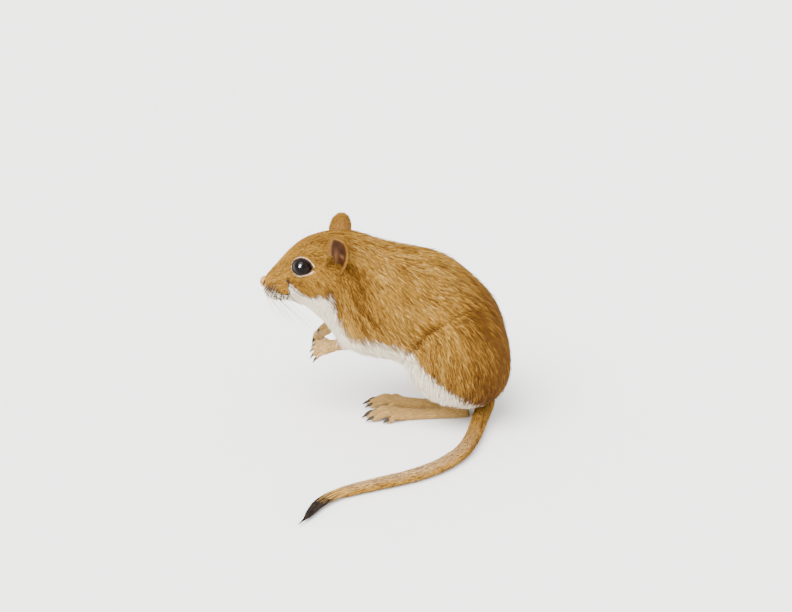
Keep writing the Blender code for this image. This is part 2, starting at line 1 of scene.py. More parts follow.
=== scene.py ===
"""The looks of a Mongolian gerbil that sits up: skin, coat, eyes, ears, nose, whiskers and claws.

Lengths are in millimetres in the animal's own frame: it looks along -Y, its left side is at +X and the ground
is z = 0. put_in_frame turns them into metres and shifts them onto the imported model. A surface is worked out
as a grid of points, a function of two parameters. The skin lies inside the solids by the depth of the coat,
and the coat is made of thin tapered tufts that are laid along it.
"""

import math
from functools import partial

import bpy
import numpy as np
from mathutils import Matrix, Vector
from mathutils.bvhtree import BVHTree
from mathutils.kdtree import KDTree


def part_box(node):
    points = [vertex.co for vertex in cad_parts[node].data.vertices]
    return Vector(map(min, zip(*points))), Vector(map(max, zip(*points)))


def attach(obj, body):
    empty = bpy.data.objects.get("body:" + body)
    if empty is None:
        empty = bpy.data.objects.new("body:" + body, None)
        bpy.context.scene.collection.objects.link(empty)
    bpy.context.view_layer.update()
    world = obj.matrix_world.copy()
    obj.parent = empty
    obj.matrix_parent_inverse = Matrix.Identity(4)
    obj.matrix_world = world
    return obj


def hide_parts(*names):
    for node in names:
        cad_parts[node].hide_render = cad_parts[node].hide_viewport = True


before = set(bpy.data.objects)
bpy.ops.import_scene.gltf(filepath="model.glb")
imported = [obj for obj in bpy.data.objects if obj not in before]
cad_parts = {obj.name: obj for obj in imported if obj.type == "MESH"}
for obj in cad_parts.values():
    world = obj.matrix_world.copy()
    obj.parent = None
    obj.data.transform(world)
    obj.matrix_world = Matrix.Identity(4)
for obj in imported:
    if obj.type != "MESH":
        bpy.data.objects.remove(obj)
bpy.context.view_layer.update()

MM = 0.001
SIDES = (1, -1)
SIDE_WORD = {1: "left", -1: "right"}
draw = np.random.default_rng(7)

# The trunk's rings: top (y, z), bottom (y, z), half width, level of the widest place above the middle.
TRUNK_RINGS = np.array([
    (-49.7, 45.0, -49.6, 43.0, 2.0, 0.00),  # nose tip
    (-48.4, 46.7, -48.5, 41.0, 4.3, -0.10),
    (-45.3, 50.0, -45.7, 39.4, 6.5, -0.16),  # whisker pads
    (-41.4, 54.1, -41.7, 38.5, 8.4, -0.05),
    (-36.5, 57.7, -37.2, 37.3, 10.2, 0.05),  # eyes
    (-31.4, 60.0, -33.2, 34.4, 12.0, -0.04),
    (-25.8, 61.1, -29.7, 31.0, 13.0, -0.14),  # cheeks and ears
    (-19.4, 60.5, -27.0, 26.8, 13.5, -0.14),  # nape
    (-12.6, 58.1, -23.6, 23.6, 15.0, -0.12),  # shoulders
    (-5.0, 56.3, -17.6, 21.6, 17.0, -0.15),
    (2.8, 54.6, -10.5, 20.4, 18.9, -0.18),  # ribs
    (10.2, 51.3, -3.2, 18.4, 20.2, -0.16),  # loins
    (17.1, 45.5, 3.4, 14.6, 20.4, -0.12),
    (23.1, 37.9, 8.8, 11.0, 18.9, -0.08),  # rump
    (27.0, 29.2, 13.0, 7.9, 16.0, -0.04),
    (28.6, 20.2, 16.2, 5.6, 12.4, 0.00),
    (27.6, 12.0, 18.2, 4.3, 8.6, 0.00),
    (25.0, 8.2, 20.2, 4.4, 3.9, 0.00),  # root of the tail
])
TRUNK_SQUARENESS = 2.25
# For each of those rings: depth of the coat, length and width of a tuft, tufts on a square millimetre.
TRUNK_COAT = np.array([
    (0.28, 0.8, 0.15, 15.0), (0.38, 1.1, 0.16, 15.0), (0.46, 1.5, 0.17, 14.5), (0.55, 2.0, 0.18, 14.0),
    (0.65, 2.4, 0.19, 13.5), (0.85, 3.0, 0.20, 13.0), (1.10, 3.6, 0.22, 12.5), (1.40, 4.3, 0.25, 11.5),
    (1.60, 4.8, 0.28, 10.5), (1.75, 5.2, 0.30, 9.8), (1.80, 5.4, 0.31, 9.4), (1.80, 5.4, 0.31, 9.4),
    (1.80, 5.4, 0.31, 9.4), (1.80, 5.3, 0.31, 9.4), (1.70, 5.0, 0.30, 9.6), (1.50, 4.6, 0.29, 10.0),
    (1.10, 4.0, 0.27, 10.5), (0.70, 3.2, 0.25, 11.0),
])
# How steeply the coat falls away from the rings' own course, at rows of the trunk.
COAT_DROP = np.array([(0, 0.1), (3, 0.2), (5, 0.45), (7, 1.1), (9, 0.8), (11, 0.45), (14, 0.5), (17, 0.3)])
HEAD_ROWS, MANTLE_END_ROW, LAST_ROW = 6.5, 9, len(TRUNK_RINGS) - 1
FACE, MANTLE, BACK, BELLY, THIGH, TAIL, FEET = range(7)
ZONE_WORDS = ("face", "mantle", "back", "belly", "thighs", "tail", "feet")
# Width of the white underside at rows of the trunk, as an angle up from the middle of the belly.
WHITE_EDGE = np.array([
    (0, 0.9), (1, 1.45), (1.8, 1.55), (2.6, 1.50), (3.3, 1.42), (4, 1.27), (4.4, 1.22), (5, 1.35),
    (5.7, 1.54), (6.1, 1.53), (6.5, 1.40), (6.8, 1.24), (7.3, 1.12), (8.1, 1.02), (8.5, 1.10),
    (9, 1.18), (10, 1.20), (11, 1.12), (12, 1.0), (13, 0.8), (14, 0.5), (15.5, 0.35), (17, 0.15),
])
# The same on the muzzle and cheek, as a line of (y, z) that jumps up at the corner of the mouth.
FACE_WHITE_EDGE = np.array([
    (-50, 43.5), (-46.9, 43.0), (-44.2, 42.5), (-41.3, 42.0), (-40.8, 45.9), (-40.2, 46.0), (-38.5, 44.4),
    (-36.9, 43.2), (-35.0, 42.8), (-33.2, 43.0), (-31.8, 43.5), (-30.9, 44.3), (-28.2, 42.0),
])
# The same on the haunch, as a line of (y, z): the coat is white below and in front of it.
HAUNCH_WHITE_EDGE = np.array([
    (-7, 33), (-3.9, 29.6), (-1.5, 26.3), (0.7, 23.1), (2.9, 20.7), (6.2, 18.0), (10.0, 14.9), (13.8, 12.1),
    (18.7, 9.7), (26, 7.5),
])
# The fold at the corner of the mouth, as points (y, z).
MOUTH_FOLD = np.array([(-41.4, 47.2), (-40.6, 45.6), (-40.7, 44.1), (-41.1, 41.6)])
MOUTH_FRONT_ROW, MOUTH_CORNER_ROW, MOUTH_CORNER_ANGLE = 1.0, 2.3, math.radians(46)
# The comma of the left nostril, and how much a step sideways counts beside one along the snout.
NOSTRIL = np.array([(3.7, -48.0, 46.2), (3.2, -48.55, 45.7), (2.9, -48.85, 44.9), (2.4, -49.15, 44.0)])
NOSTRIL_SIDEWAYS = 0.35
# Dark hairs on the whisker pad, each from (y, z) to (y, z), then the line of the lower jaw and of the cheek.
PAD_HAIRS = np.array([
    (-46.9, 44.7, -48.6, 42.4), (-46.3, 44.9, -48.2, 41.9), (-46.1, 44.1, -47.8, 41.3),
    (-45.2, 45.2, -47.3, 40.9), (-44.5, 45.1, -46.6, 40.6), (-43.9, 44.3, -45.8, 40.4),
    (-44.5, 43.2, -44.7, 40.0), (-42.9, 42.9, -43.4, 39.9), (-42.3, 42.4, -42.8, 39.8),
    (-43.2, 42.0, -43.8, 40.0), (-40.8, 43.9, -40.8, 42.0), (-41.1, 42.0, -41.6, 40.3),
    (-40.2, 42.4, -39.2, 40.5), (-39.4, 40.8, -37.8, 39.2), (-38.0, 39.4, -36.6, 38.3),
    (-41.4, 47.3, -40.0, 45.9), (-40.2, 46.2, -38.5, 44.5), (-38.8, 44.7, -36.9, 43.1),
    (-37.2, 43.4, -35.4, 42.7),
])
PAD_HAIR_THICKNESS, PAD_HAIR_LIFT = np.array([0.17] * 12 + [0.13] * 7), 0.72
CREASE_WIDTH, CREASE_MORE_BEHIND = 2.4, 5.0
# The line of painted shade in the crease over the knee and up the flank, as points (y, z).
CREASE = np.array([
    (-5.6, 24.6), (-5.5, 27.0), (-4.9, 29.4), (-4.3, 30.7), (-3.5, 31.9), (-2.4, 33.3), (-0.9, 35.0),
    (0.9, 36.7), (3.8, 38.8),
])
SWELLINGS = np.array([  # centre (x, y, z), reach, height
    (4.6, -47.2, 41.4, 3.2, 0.80),  # whisker pad
    (9.0, -36.6, 52.7, 5.0, 1.85),  # mound round the eye
    (11.5, -30.5, 44.0, 6.5, 0.90),  # cheek
    (14.5, -13.5, 38.0, 9.0, 1.30),  # shoulder
    (11.5, -20.0, 28.0, 6.5, 1.50),  # elbow under the coat
])

EYE_CENTRE = np.array([8.7, -36.1, 51.6])
EYE_LOOK = np.array([0.90, -0.38, 0.20])
EYE_RADIUS, CORNEA_BULGE = 3.1, 0.05
# The almond opening of the lids, in radians: half its width, its reach up and down from the level of its
# corners, how low that level is, and how far back its middle is.
LID_ACROSS, LID_UP, LID_DOWN, LID_CORNER_DROP, LID_SHIFT_BACK = 1.38, 1.10, 0.60, 0.12, 0.16
LID_RADIUS, LID_CORNER_LINE = 3.5, 0.12
NOSE_PAD_CENTRE, NOSE_PAD_RADII = np.array([0.0, -48.95, 44.2]), np.array([2.1, 1.45, 1.75])
NOSE_PITS = ((0.50, -0.05, 0.17), (0.62, 0.06, 0.15), (0.74, 0.18, 0.12))  # across, up, size of each part

EAR_ROOT = np.array([10.3, -26.2, 51.2])
EAR_UP = {1: np.array([0.40, 0.12, 0.91]), -1: np.array([0.24, 0.06, 0.96])}
EAR_OPENS = np.array([0.80, -0.60, 0.0])
EAR_LENGTH = 11.6
EAR_HALF_WIDTH, EAR_WIDEST_AT = 4.1, 0.60
EAR_CUP_DEPTH = np.array([2.6, 2.8, 2.6, 2.1, 1.4, 0.5])
EAR_THICKNESS, EAR_LEAN_BACK = 0.75, 0.9
EAR_HOLLOW_AT, EAR_HOLLOW_REACH, EAR_HOLLOW_DEPTH = 3.2, 2.1, 2.8
# No hair grows nearer than this to the lids, the nostrils and the line out of an ear's cup.
BARE_AT_LID, BARE_AT_NOSTRIL, BARE_AT_EAR = 0.5, 0.5, 1.9

THIGH_CENTRE, THIGH_RADII = np.array([13.4, 10.6, 23.7]), np.array([10.3, 16.2, 16.2])
THIGH_KNEE_DROP, THIGH_BACK_FULLNESS, THIGH_FRONT_TRIM = 0.06, 0.30, 0.10
THIGH_COAT = (1.75, 5.2, 0.31, 9.4)
HEELS = {1: np.array([4.9, 16.0]), -1: np.array([1.4, 16.0])}
FOOT_SPLAY = math.radians(4)
FOOT_STEPS = np.array([  # distance in front of the heel, half width, height
    (0.0, 0.9, 2.2), (0.7, 1.8, 3.8), (2.6, 2.3, 4.8), (5.5, 2.4, 4.3), (10.0, 2.3, 3.2),
    (16.0, 2.5, 2.9), (21.0, 3.0, 3.2), (23.6, 3.0, 3.1), (25.2, 2.2, 2.4),
])
SHANK = np.array([(0.0, 13.0, 2.8), (0.6, 12.0, 5.0), (2.6, 10.2, 8.4), (5.4, 7.6, 14.0)])
SHANK_FOLLOWS = np.array([1.0, 1.0, 0.6, 0.0])
SHANK_RADII = np.array([1.8, 2.2, 3.1, 4.4])
TOES = np.array([  # outward offset at the root, direction in degrees, length, radius, start behind the front
    (-2.6, -14, 4.2, 0.85, 3.0),
    (-1.7, -6, 7.6, 1.05, 1.2),
    (-0.1, 0, 8.4, 1.10, 1.0),
    (1.5, 7, 7.6, 1.05, 1.4),
    (2.7, 18, 5.0, 0.90, 3.4),
])
TOE_SHARES = (-0.15, 0.15, 0.45, 0.75, 0.95, 1.05)
TOE_HEIGHTS, TOE_HEIGHTS_AT_RADIUS = np.array([1.9, 2.2, 2.5, 1.7, 1.15, 1.05]), 1.05
TOE_THICKNESS = np.array([0.95, 1.0, 1.10, 0.92, 0.88, 0.55])
HIND_CLAW = (0.68, 0.42)  # radius and bend
HIND_CLAW_LENGTH, SHORT_TOE, SHORT_TOE_CLAW = 2.5, 6, 0.75
FOOT_COAT = (0.22, 1.3, 0.20, 8.0)

ELBOW = np.array([9.0, -16.5, 29.5])
WRISTS = {1: np.array([6.5, -26.5, 25.2]), -1: np.array([6.0, -28.4, 27.8])}
HAND_DROPS = {1: math.radians(12), -1: math.radians(44)}
HAND_ROLL = math.radians(42)
FOREARM_RADII = np.array([4.2, 3.5, 2.8, 2.3])
PALM_LENGTH, PALM_RADII, PALM_FLATNESS = 4.9, (2.45, 2.6, 1.8), 0.66
FINGERS = np.array([  # offset to the outside, direction in degrees, length, radius; the last is the thumb
    (-1.80, -14, 3.1, 0.66),
    (-0.62, -5, 3.9, 0.70),
    (0.62, 5, 3.9, 0.70),
    (1.80, 14, 3.2, 0.66),
    (-2.4, -38, 1.6, 0.55),
])
FINGER_SHARES = (-0.2, 0.25, 0.6, 0.9, 1.08)
FINGER_FALL, FINGER_FALL_AT_LENGTH = np.array([0.0, 0.25, -0.15, -1.0, -1.35]), 4.0
FINGER_THICKNESS = np.array([1.0, 1.0, 1.06, 0.95, 0.6])
PALM_PADS = ((-1.1, 2.4), (0, 3.0), (1.1, 2.4), (-0.9, 0.9), (0.9, 0.9))  # to the outside, forward
FORE_CLAW = (0.52, 0.42)
FORE_CLAW_LENGTH, THUMB_CLAW = 1.8, 0.5

TAIL_PATH = np.array([
    (-0.8, 21.0, 9.6), (0.2, 21.6, 6.4), (2.8, 21.6, 4.1), (6.6, 20.6, 3.15), (11.2, 19.4, 2.9),
    (16.6, 18.2, 2.8), (22.6, 16.8, 2.7), (28.4, 15.1, 2.6), (33.8, 13.1, 2.5), (39.0, 10.2, 2.4),
    (43.7, 6.3, 2.3), (47.8, 1.6, 2.2), (51.2, -3.8, 2.1), (54.0, -9.6, 2.0), (56.6, -15.6, 1.8),
    (59.4, -21.2, 1.7), (62.8, -25.8, 1.6), (67.0, -29.0, 1.5), (71.6, -31.0, 1.3),
])
TAIL_RADIUS_ROOT, TAIL_RADIUS_END = 3.1, 1.5
TAIL_COAT = (0.55, 2.8, 0.24, 9.0)
BRUSH_START, BRUSH_TIP, BRUSH_HAIRS = 0.82, 1.04, 3600
EAR_HAIRS, MOST_TUFTS_IN_PIECE = 5200, 19000
# Rows of whiskers: turn from the top of the muzzle, number of whiskers, length of the last one.
WHISKER_ROWS = ((1.75, 5, 24), (1.98, 5, 22), (2.2, 5, 16), (2.42, 4, 11))

FLESH_NODES = (
    "head", "neck", "torso", "thigh_left", "thigh_right", "hind_foot_left", "hind_foot_right",
    "foreleg_left", "foreleg_right", "forepaw_left", "forepaw_right", "tail_base", "tail_middle", "tail_end",
)

low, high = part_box("eye_left")
SHIFT = (np.array(low) + np.array(high)) / 2 - EYE_CENTRE * MM
# Where the legs of each side begin on the coat's chart, the width of their strip, and a tuft's patch there.
CHART_LEFT, CHART_LEG_WIDTH, CHART_PATCH = {1: 0.655, -1: 0.83}, 0.16, 0.003


# Numbers and grids


def put_in_frame(points):
    return np.asarray(points, float) * MM + SHIFT


def unit(vectors):
    return vectors / (np.linalg.norm(vectors, axis=-1, keepdims=True) + 1e-12)


def in_plane(vectors, normals):
    """Unit vectors, each bent into the plane that its normal stands on."""
    return unit(vectors - normals * np.einsum("ij,ij->i", vectors, normals)[:, None])


def ease(value, start, end):
    """0 below start, 1 above end and a smooth rise between them."""
    share = np.clip((value - start) / (end - start), 0, 1)
    return share * share * (3 - 2 * share)


def mound(distance, reach):
    """1 at no distance, and less further off: exp(-(distance / reach)^2)."""
    return np.exp(-((distance / reach) ** 2))


def mirrored(point, side):
    return np.asarray(point) * (side, 1, 1)


def kept_above(points, level):
    """The same array, with no point lower than level."""
    points[..., 2] = np.maximum(points[..., 2], level)
    return points


def natural_spline(values, at):
    """A natural cubic spline through the rows of values, which stand at 0, 1, 2 and so on, read at `at`."""
    values, at = np.asarray(values, float), np.atleast_1d(at)
    count = len(values)
    system = np.diag(np.full(count, 4.0)) + np.diag(np.ones(count - 1), 1) + np.diag(np.ones(count - 1), -1)
    system[0, :2] = system[-1, -2:] = 0
    system[0, 0] = system[-1, -1] = 1
    right = np.zeros_like(values)
    right[1:-1] = 6 * (values[2:] - 2 * values[1:-1] + values[:-2])
    bend = np.linalg.solve(system, right)
    row = np.clip(at.astype(int), 0, count - 2)
    step = (at - row).reshape((-1,) + (1,) * (values.ndim - 1))
    back = 1 - step
    return (
        back * values[row] + step * values[row + 1]
        + ((back**3 - back) * bend[row] + (step**3 - step) * bend[row + 1]) / 6
    )


def smooth_along(values, steps):
    """The rows of values read at evenly spread places on a natural spline."""
    return natural_spline(values, np.linspace(0, len(values) - 1, steps))


def turns(sides):
    """Angles spread evenly round a full turn."""
    return np.linspace(0, 2 * math.pi, sides, endpoint=False)


def ball(rings, sides):
    """Angles from X, turns round it, and the unit directions at those angles and turns."""
    polar, turn = np.linspace(0, math.pi, rings)[1:-1, None], turns(sides)[None]
    parts = np.cos(polar), np.sin(polar) * np.cos(turn), np.sin(polar) * np.sin(turn)
    return polar, turn, np.stack(np.broadcast_arrays(*parts), -1)


def tube(path, radii, sides, flatness=1.0, level=None):
    """A round profile carried along a path without twisting. flatness scales it square to level."""
    path = np.asarray(path, float)
    along, turn = unit(np.gradient(path, axis=0)), turns(sides)
    if level is None:
        level = (1, 0, 0) if abs(along[0][0]) < 0.8 else (0, 0, 1)
    across = unit(np.cross(along[0], level))
    rings = []
    for point, way, radius, flat in zip(path, along, radii, np.broadcast_to(flatness, len(path))):
        across = unit(across - way * (across @ way))
        circle = np.outer(np.cos(turn), across) * flat + np.outer(np.sin(turn), np.cross(way, across))
        rings.append(point + radius * circle)
    return np.array(rings)


def smooth_tube(path, thick, steps, sides, trim=0.0, **shape):
    """A tube along a smooth path, with smooth radii less trim."""
    return tube(smooth_along(path, steps), smooth_along(thick, steps) - trim, sides, **shape)


def dome(ring, beside, bulge):
    """Rings that close an end as a dome: scale = cos(angle), reach = bulge * sin(angle) past the end."""
    middle = ring.mean(0)
    out = unit(middle - beside.mean(0))
    angles = np.linspace(0, math.pi / 2, 5)[1:]
    return [middle + (ring - middle) * math.cos(a) * 0.999 + out * bulge * math.sin(a) for a in angles]


def closed_arrays(grid, bulge):
    """Points, quads and end fans of a grid of rings. Each end has a pole, after a dome if bulge isn't 0."""
    if bulge:
        grid = np.array(dome(grid[0], grid[1], bulge)[::-1] + list(grid) + dome(grid[-1], grid[-2], bulge))
    rings, sides = grid.shape[:2]
    points = np.concatenate([grid.reshape(-1, 3), [grid[0].mean(0), grid[-1].mean(0)]])
    row, side = np.meshgrid(np.arange(rings - 1) * sides, np.arange(sides), indexing="ij")
    after = (side + 1) % sides
    quads = np.stack([row + side, row + after, row + sides + after, row + sides + side], -1).reshape(-1, 4)
    side, after, last, pole = side[0], after[0], row[-1] + sides, np.full(sides, rings * sides)
    first_fan = np.stack([after, side, pole], -1)
    last_fan = np.stack([last + side, last + after, pole + 1], -1)
    return points, quads, np.concatenate([first_fan, last_fan])


def add_attribute(mesh, word, values):
    mesh.attributes.new(word, "FLOAT", "POINT").data.foreach_set("value", values.astype(np.float32))


def make_mesh(name, points, quads, triangles, attributes, chart=None):
    """A mesh object from arrays, with its faces turned to point outwards. chart gives each corner's UV."""
    loops = np.concatenate([quads.ravel(), triangles.ravel()])
    starts = np.append(np.arange(len(quads)) * 4, quads.size + np.arange(len(triangles)) * 3)
    a, b, c = (points[quads[:, k]] for k in range(3))
    inside_out = np.einsum("ij,ij->i", a, np.cross(b, c)).sum() < 0
    mesh = bpy.data.meshes.new(name)
    mesh.vertices.add(len(points))
    mesh.vertices.foreach_set("co", put_in_frame(points).astype(np.float32).ravel())
    mesh.loops.add(len(loops))
    mesh.loops.foreach_set("vertex_index", loops.astype(np.int32))
    mesh.polygons.add(len(starts))
    mesh.polygons.foreach_set("loop_start", starts.astype(np.int32))
    mesh.update(calc_edges=True)
    if chart is not None:
        mesh.uv_layers.new(name="OFBake").uv.foreach_set("vector", chart.astype(np.float32).ravel())
    for word, values in attributes.items():
        add_attribute(mesh, word, values)
    if inside_out:
        mesh.flip_normals()
    mesh.shade_smooth()
    return linked(name, mesh)


def linked(name, data):
    """A new object in the scene for a mesh, a lamp or the camera."""
    made = bpy.data.objects.new(name, data)
    bpy.context.scene.collection.objects.link(made)
    return made


def closed_grid(name, grid, bulge=0.0, attributes={}, poles=(0, 0)):
    """A closed body from a grid of rings. An attribute is a grid of values, and poles are its end values."""
    points, quads, fans = closed_arrays(grid, bulge)
    centre = points.mean(0)
    values = {word: np.append(value, poles) for word, value in attributes.items()}
    made = make_mesh(name, points - centre, quads, fans, values)
    made.data.transform(Matrix.Translation(centre * MM))
    return made


def joined_grids(name, grids, attributes):
    """Closed bodies from grids of one size, as one mesh."""
    points, quads, fans = (np.array(part) for part in zip(*(closed_arrays(grid, 0) for grid in grids)))
    start = (np.arange(len(grids)) * points.shape[1])[:, None, None]
    quads, fans = (quads + start).reshape(-1, 4), (fans + start).reshape(-1, 3)
    return make_mesh(name, points.reshape(-1, 3), quads, fans, attributes)


def points_of(item):
    """The vertices of a mesh object as millimetres in the animal's frame."""
    flat = np.empty(len(item.data.vertices) * 3, np.float32)
    item.data.vertices.foreach_get("co", flat)
    return (flat.reshape(-1, 3).astype(float) - SHIFT) / MM


def apply_modifiers(item):
    bpy.context.view_layer.update()
    evaluated = item.evaluated_get(bpy.context.evaluated_depsgraph_get())
    item.data = bpy.data.meshes.new_from_object(evaluated)
    item.modifiers.clear()
    return item


def join(items):
    """Several meshes as one, still as separate surfaces."""
    with bpy.context.temp_override(active_object=items[0], selected_editable_objects=items):
        bpy.ops.object.join()
    return items[0]


def fused(items, voxel, rounds):
    """Overlapping closed bodies made one by a voxel remesh, then smoothed."""
    whole = join(items)
    remesh = whole.modifiers.new("fuse", "REMESH")
    remesh.mode, remesh.voxel_size, remesh.use_smooth_shade = "VOXEL", voxel * MM, True
    soften = whole.modifiers.new("soften", "SMOOTH")
    soften.factor, soften.iterations = 0.5, rounds
    return apply_modifiers(whole)


def united(base, items):
    """A Boolean union of closed bodies."""
    group = bpy.data.collections.new("union")
    bpy.context.scene.collection.children.link(group)
    for item in items:
        bpy.context.scene.collection.objects.unlink(item)
        group.objects.link(item)
    union = base.modifiers.new("union", "BOOLEAN")
    union.operation, union.operand_type, union.solver = "UNION", "COLLECTION", "MANIFOLD"
    union.collection = group
    apply_modifiers(base)
    for item in items:
        bpy.data.objects.remove(item)
    bpy.data.collections.remove(group)


def nearest_on(surface, points):
    """The nearest point of a surface and the normal there, for each point."""
    found = [surface.find_nearest(point)[:2] for point in points.reshape(-1, 3).tolist()]
    return (np.array([hit[k] for hit in found]).reshape(points.shape) for k in (0, 1))


def distance_to(points, line):
    """Distance from each point to the nearest point of a line."""
    return np.sqrt(((points[..., None, :] - line) ** 2).sum(-1)).min(-1)


def along_line(corners):
    """Points close together along a broken line."""
    share = np.linspace(0, 1, 8)[:, None]
    return np.concatenate([a + (b - a) * share for a, b in zip(corners[:-1], corners[1:])])


# The body's shape


def trunk_grid(row, turn):
    """The trunk's outer surface, out to the tips of the coat, at rows of the table and turns from the top.

    x = half width * |sin|^(2/n), and the way from the bottom to the top = half height * |cos|^(2/n), lifted
    by the widest level times sin squared. Each swelling then adds a mound outwards.
    """
    table = natural_spline(TRUNK_RINGS, row)
    middle, rise = (table[:, 0:2] + table[:, 2:4]) / 2, (table[:, 0:2] - table[:, 2:4]) / 2
    sine, cosine = np.sin(turn), np.cos(turn)
    power = 2 / TRUNK_SQUARENESS
    widest = table[:, 5, None]
    x = table[:, 4, None] * np.sign(sine) * np.abs(sine) ** power
    height = np.sign(cosine) * np.abs(cosine) ** power + widest * sine**2
    points = np.concatenate([x[..., None], middle[:, None] + height[..., None] * rise[:, None]], -1)
    core = np.concatenate([np.zeros((len(table), 1)), middle + widest * rise], -1)
    lift = np.zeros(x.shape)
    for *centre, reach, swell in SWELLINGS:
        for side in SIDES:
            lift += swell * mound(np.linalg.norm(points - mirrored(centre, side), axis=-1), reach)
    return points + unit(points - core[:, None]) * lift[..., None]


def thigh_sag(y):
    """How much higher the thigh is at a distance behind its middle: its front half sags towards the knee."""
    return THIGH_KNEE_DROP * y * np.where(y < 0, 1, 0.25)


def thigh_fullness(direction):
    """How much wider the thigh is than an ellipsoid: fuller low at the back, trimmed low at the front."""
    backward, downward = direction[..., 1, None], np.clip(-direction[..., 2, None], 0, 1)
    return 1 + downward * (
        THIGH_BACK_FULLNESS * np.clip(backward, 0, 1) - THIGH_FRONT_TRIM * np.clip(-backward, 0, 1)
    )


def thigh_distance(points):
    """About how far points are from the surface of each thigh, below 0 inside it: (n - 1) * n / |p / radii^2|
    with n = |p / radii|, after its sag and its fullness are taken off."""
    gaps = []
    for side in SIDES:
        offset = mirrored(points, side) - THIGH_CENTRE
        offset[..., 2] -= thigh_sag(offset[..., 1])
        offset[..., 1:] /= thigh_fullness(unit(offset / THIGH_RADII))
        reach = np.linalg.norm(offset / THIGH_RADII, axis=-1)
        gaps.append((reach - 1) * reach / (np.linalg.norm(offset / THIGH_RADII**2, axis=-1) + 1e-9))
    return gaps


def blend_lift(points, distance):
    """The rounding of the crease at the thigh: k / 4 * (1 - |distance| / k)^2, narrow at the knee."""
    behind = np.maximum(ease(points[..., 1], -2, 12), ease(points[..., 2], 32, 38))
    width = CREASE_WIDTH + CREASE_MORE_BEHIND * behind
    return width / 4 * np.clip(1 - np.abs(distance) / width, 0, 1) ** 2


def grid_normals(grid):
    """Outward normals of a grid of rings."""
    around = np.roll(grid, -1, 1) - np.roll(grid, 1, 1)
    normals = unit(np.cross(around, np.gradient(grid, axis=0)))
    outwards = grid - grid.mean(1, keepdims=True)
    return normals * np.sign((normals * outwards).sum((1, 2), keepdims=True))


def mouth_lines():
    """Points along the line of the mouth, from corner to corner, and up the split of the upper lip."""
    share = np.linspace(-1, 1, 61)
    row = MOUTH_FRONT_ROW + (MOUTH_CORNER_ROW - MOUTH_FRONT_ROW) * share**2
    turn = math.pi - share * MOUTH_CORNER_ANGLE
    mouth = np.array([trunk_grid(r, t)[0, 0] for r, t in zip(row[:, None], turn[:, None])])
    split = trunk_grid(np.linspace(MOUTH_FRONT_ROW + 0.05, 0.1, 16), np.array([math.pi]))[:, 0]
    return mouth, split


def eye_axes(side):
    """The way the eye looks, the way to its back corner and the way up across it."""
    look = unit(mirrored(EYE_LOOK, side))
    back = unit(np.cross((0, 0, 1), look) * side)
    return look, back, np.cross(look, back) * side


def eye_place(points, side):
    """Where points are round an eye: radians behind the middle of its opening, radians above the level of its
    corners, and the distance from the eye's centre."""
    look, back, up = eye_axes(side)
    ray = points - mirrored(EYE_CENTRE, side)
    distance = np.linalg.norm(ray, axis=-1)
    away = np.arccos(np.clip(ray @ look / (distance + 1e-9), -1, 1))
    across, rise = ray @ back, ray @ up
    flat = np.hypot(across, rise) + 1e-9
    return away * across / flat - LID_SHIFT_BACK, away * rise / flat + LID_CORNER_DROP, distance


def opening_gap(across, rise):
    """Radians outside the rim of the opening, below 0 inside it. The rim is an arc above and an arc below
    that meet at the corners: gap = the larger of |place - the arc's centre| - the arc's radius."""
    gap = np.full(np.shape(across), -9.0)
    for height, way in ((LID_UP, 1), (LID_DOWN, -1)):
        radius = (LID_ACROSS**2 + height**2) / (2 * height)
        gap = np.maximum(gap, np.hypot(across, rise - way * (height - radius)) - radius)
    return gap


def from_lid(points, side):
    """Millimetres from the dark edge of the lids, which runs on in a thin line beyond each corner, below 0
    inside it: the way between the point and the nearest place of the edge on the ball of the lids."""
    across, rise, distance = eye_place(points, side)
    line = np.hypot(np.maximum(np.abs(across) - LID_ACROSS - LID_CORNER_LINE, 0), rise)
    gap = np.minimum(opening_gap(across, rise), line)
    cosine = np.cos(np.clip(gap, 0, math.pi))
    beyond = np.sqrt(LID_RADIUS**2 + distance**2 - 2 * LID_RADIUS * distance * cosine)
    return np.where((gap < 0) & (distance < 7), gap * LID_RADIUS, beyond)


def eye_gap(points):
    """Millimetres from the edge of the nearer eye's lids."""
    return np.minimum(*(from_lid(points, side) for side in SIDES))


def nostril_gap(points):
    """Millimetres from the line of the nearer nostril."""
    both = np.abs(points) * (NOSTRIL_SIDEWAYS, 0, 0) + points * (0, 1, 1)
    return distance_to(both, along_line(NOSTRIL) * (NOSTRIL_SIDEWAYS, 1, 1))


def ear_axes(side):
    """The way up the ear, the way that its cup opens and the way across it."""
    up, opens = unit(mirrored(EAR_UP[side], side)), mirrored(EAR_OPENS, side)
    opens = unit(opens - up * (opens @ up))
    return up, opens, np.cross(up, opens)


def ear_mouth(points):
    """Millimetres from the line out of the nearer ear's cup, low in it, and from the cup's bottom behind."""
    gaps = []
    for side in SIDES:
        up, opens, _ = ear_axes(side)
        offset = points - mirrored(EAR_ROOT, side) - up * EAR_HOLLOW_AT
        out = offset @ opens
        aside = np.linalg.norm(offset - out[..., None] * opens, axis=-1)
        gaps.append(np.hypot(aside, 2 * np.maximum(-2.4 - out, 0) + np.maximum(out - 3, 0)))
    return np.minimum(*gaps)


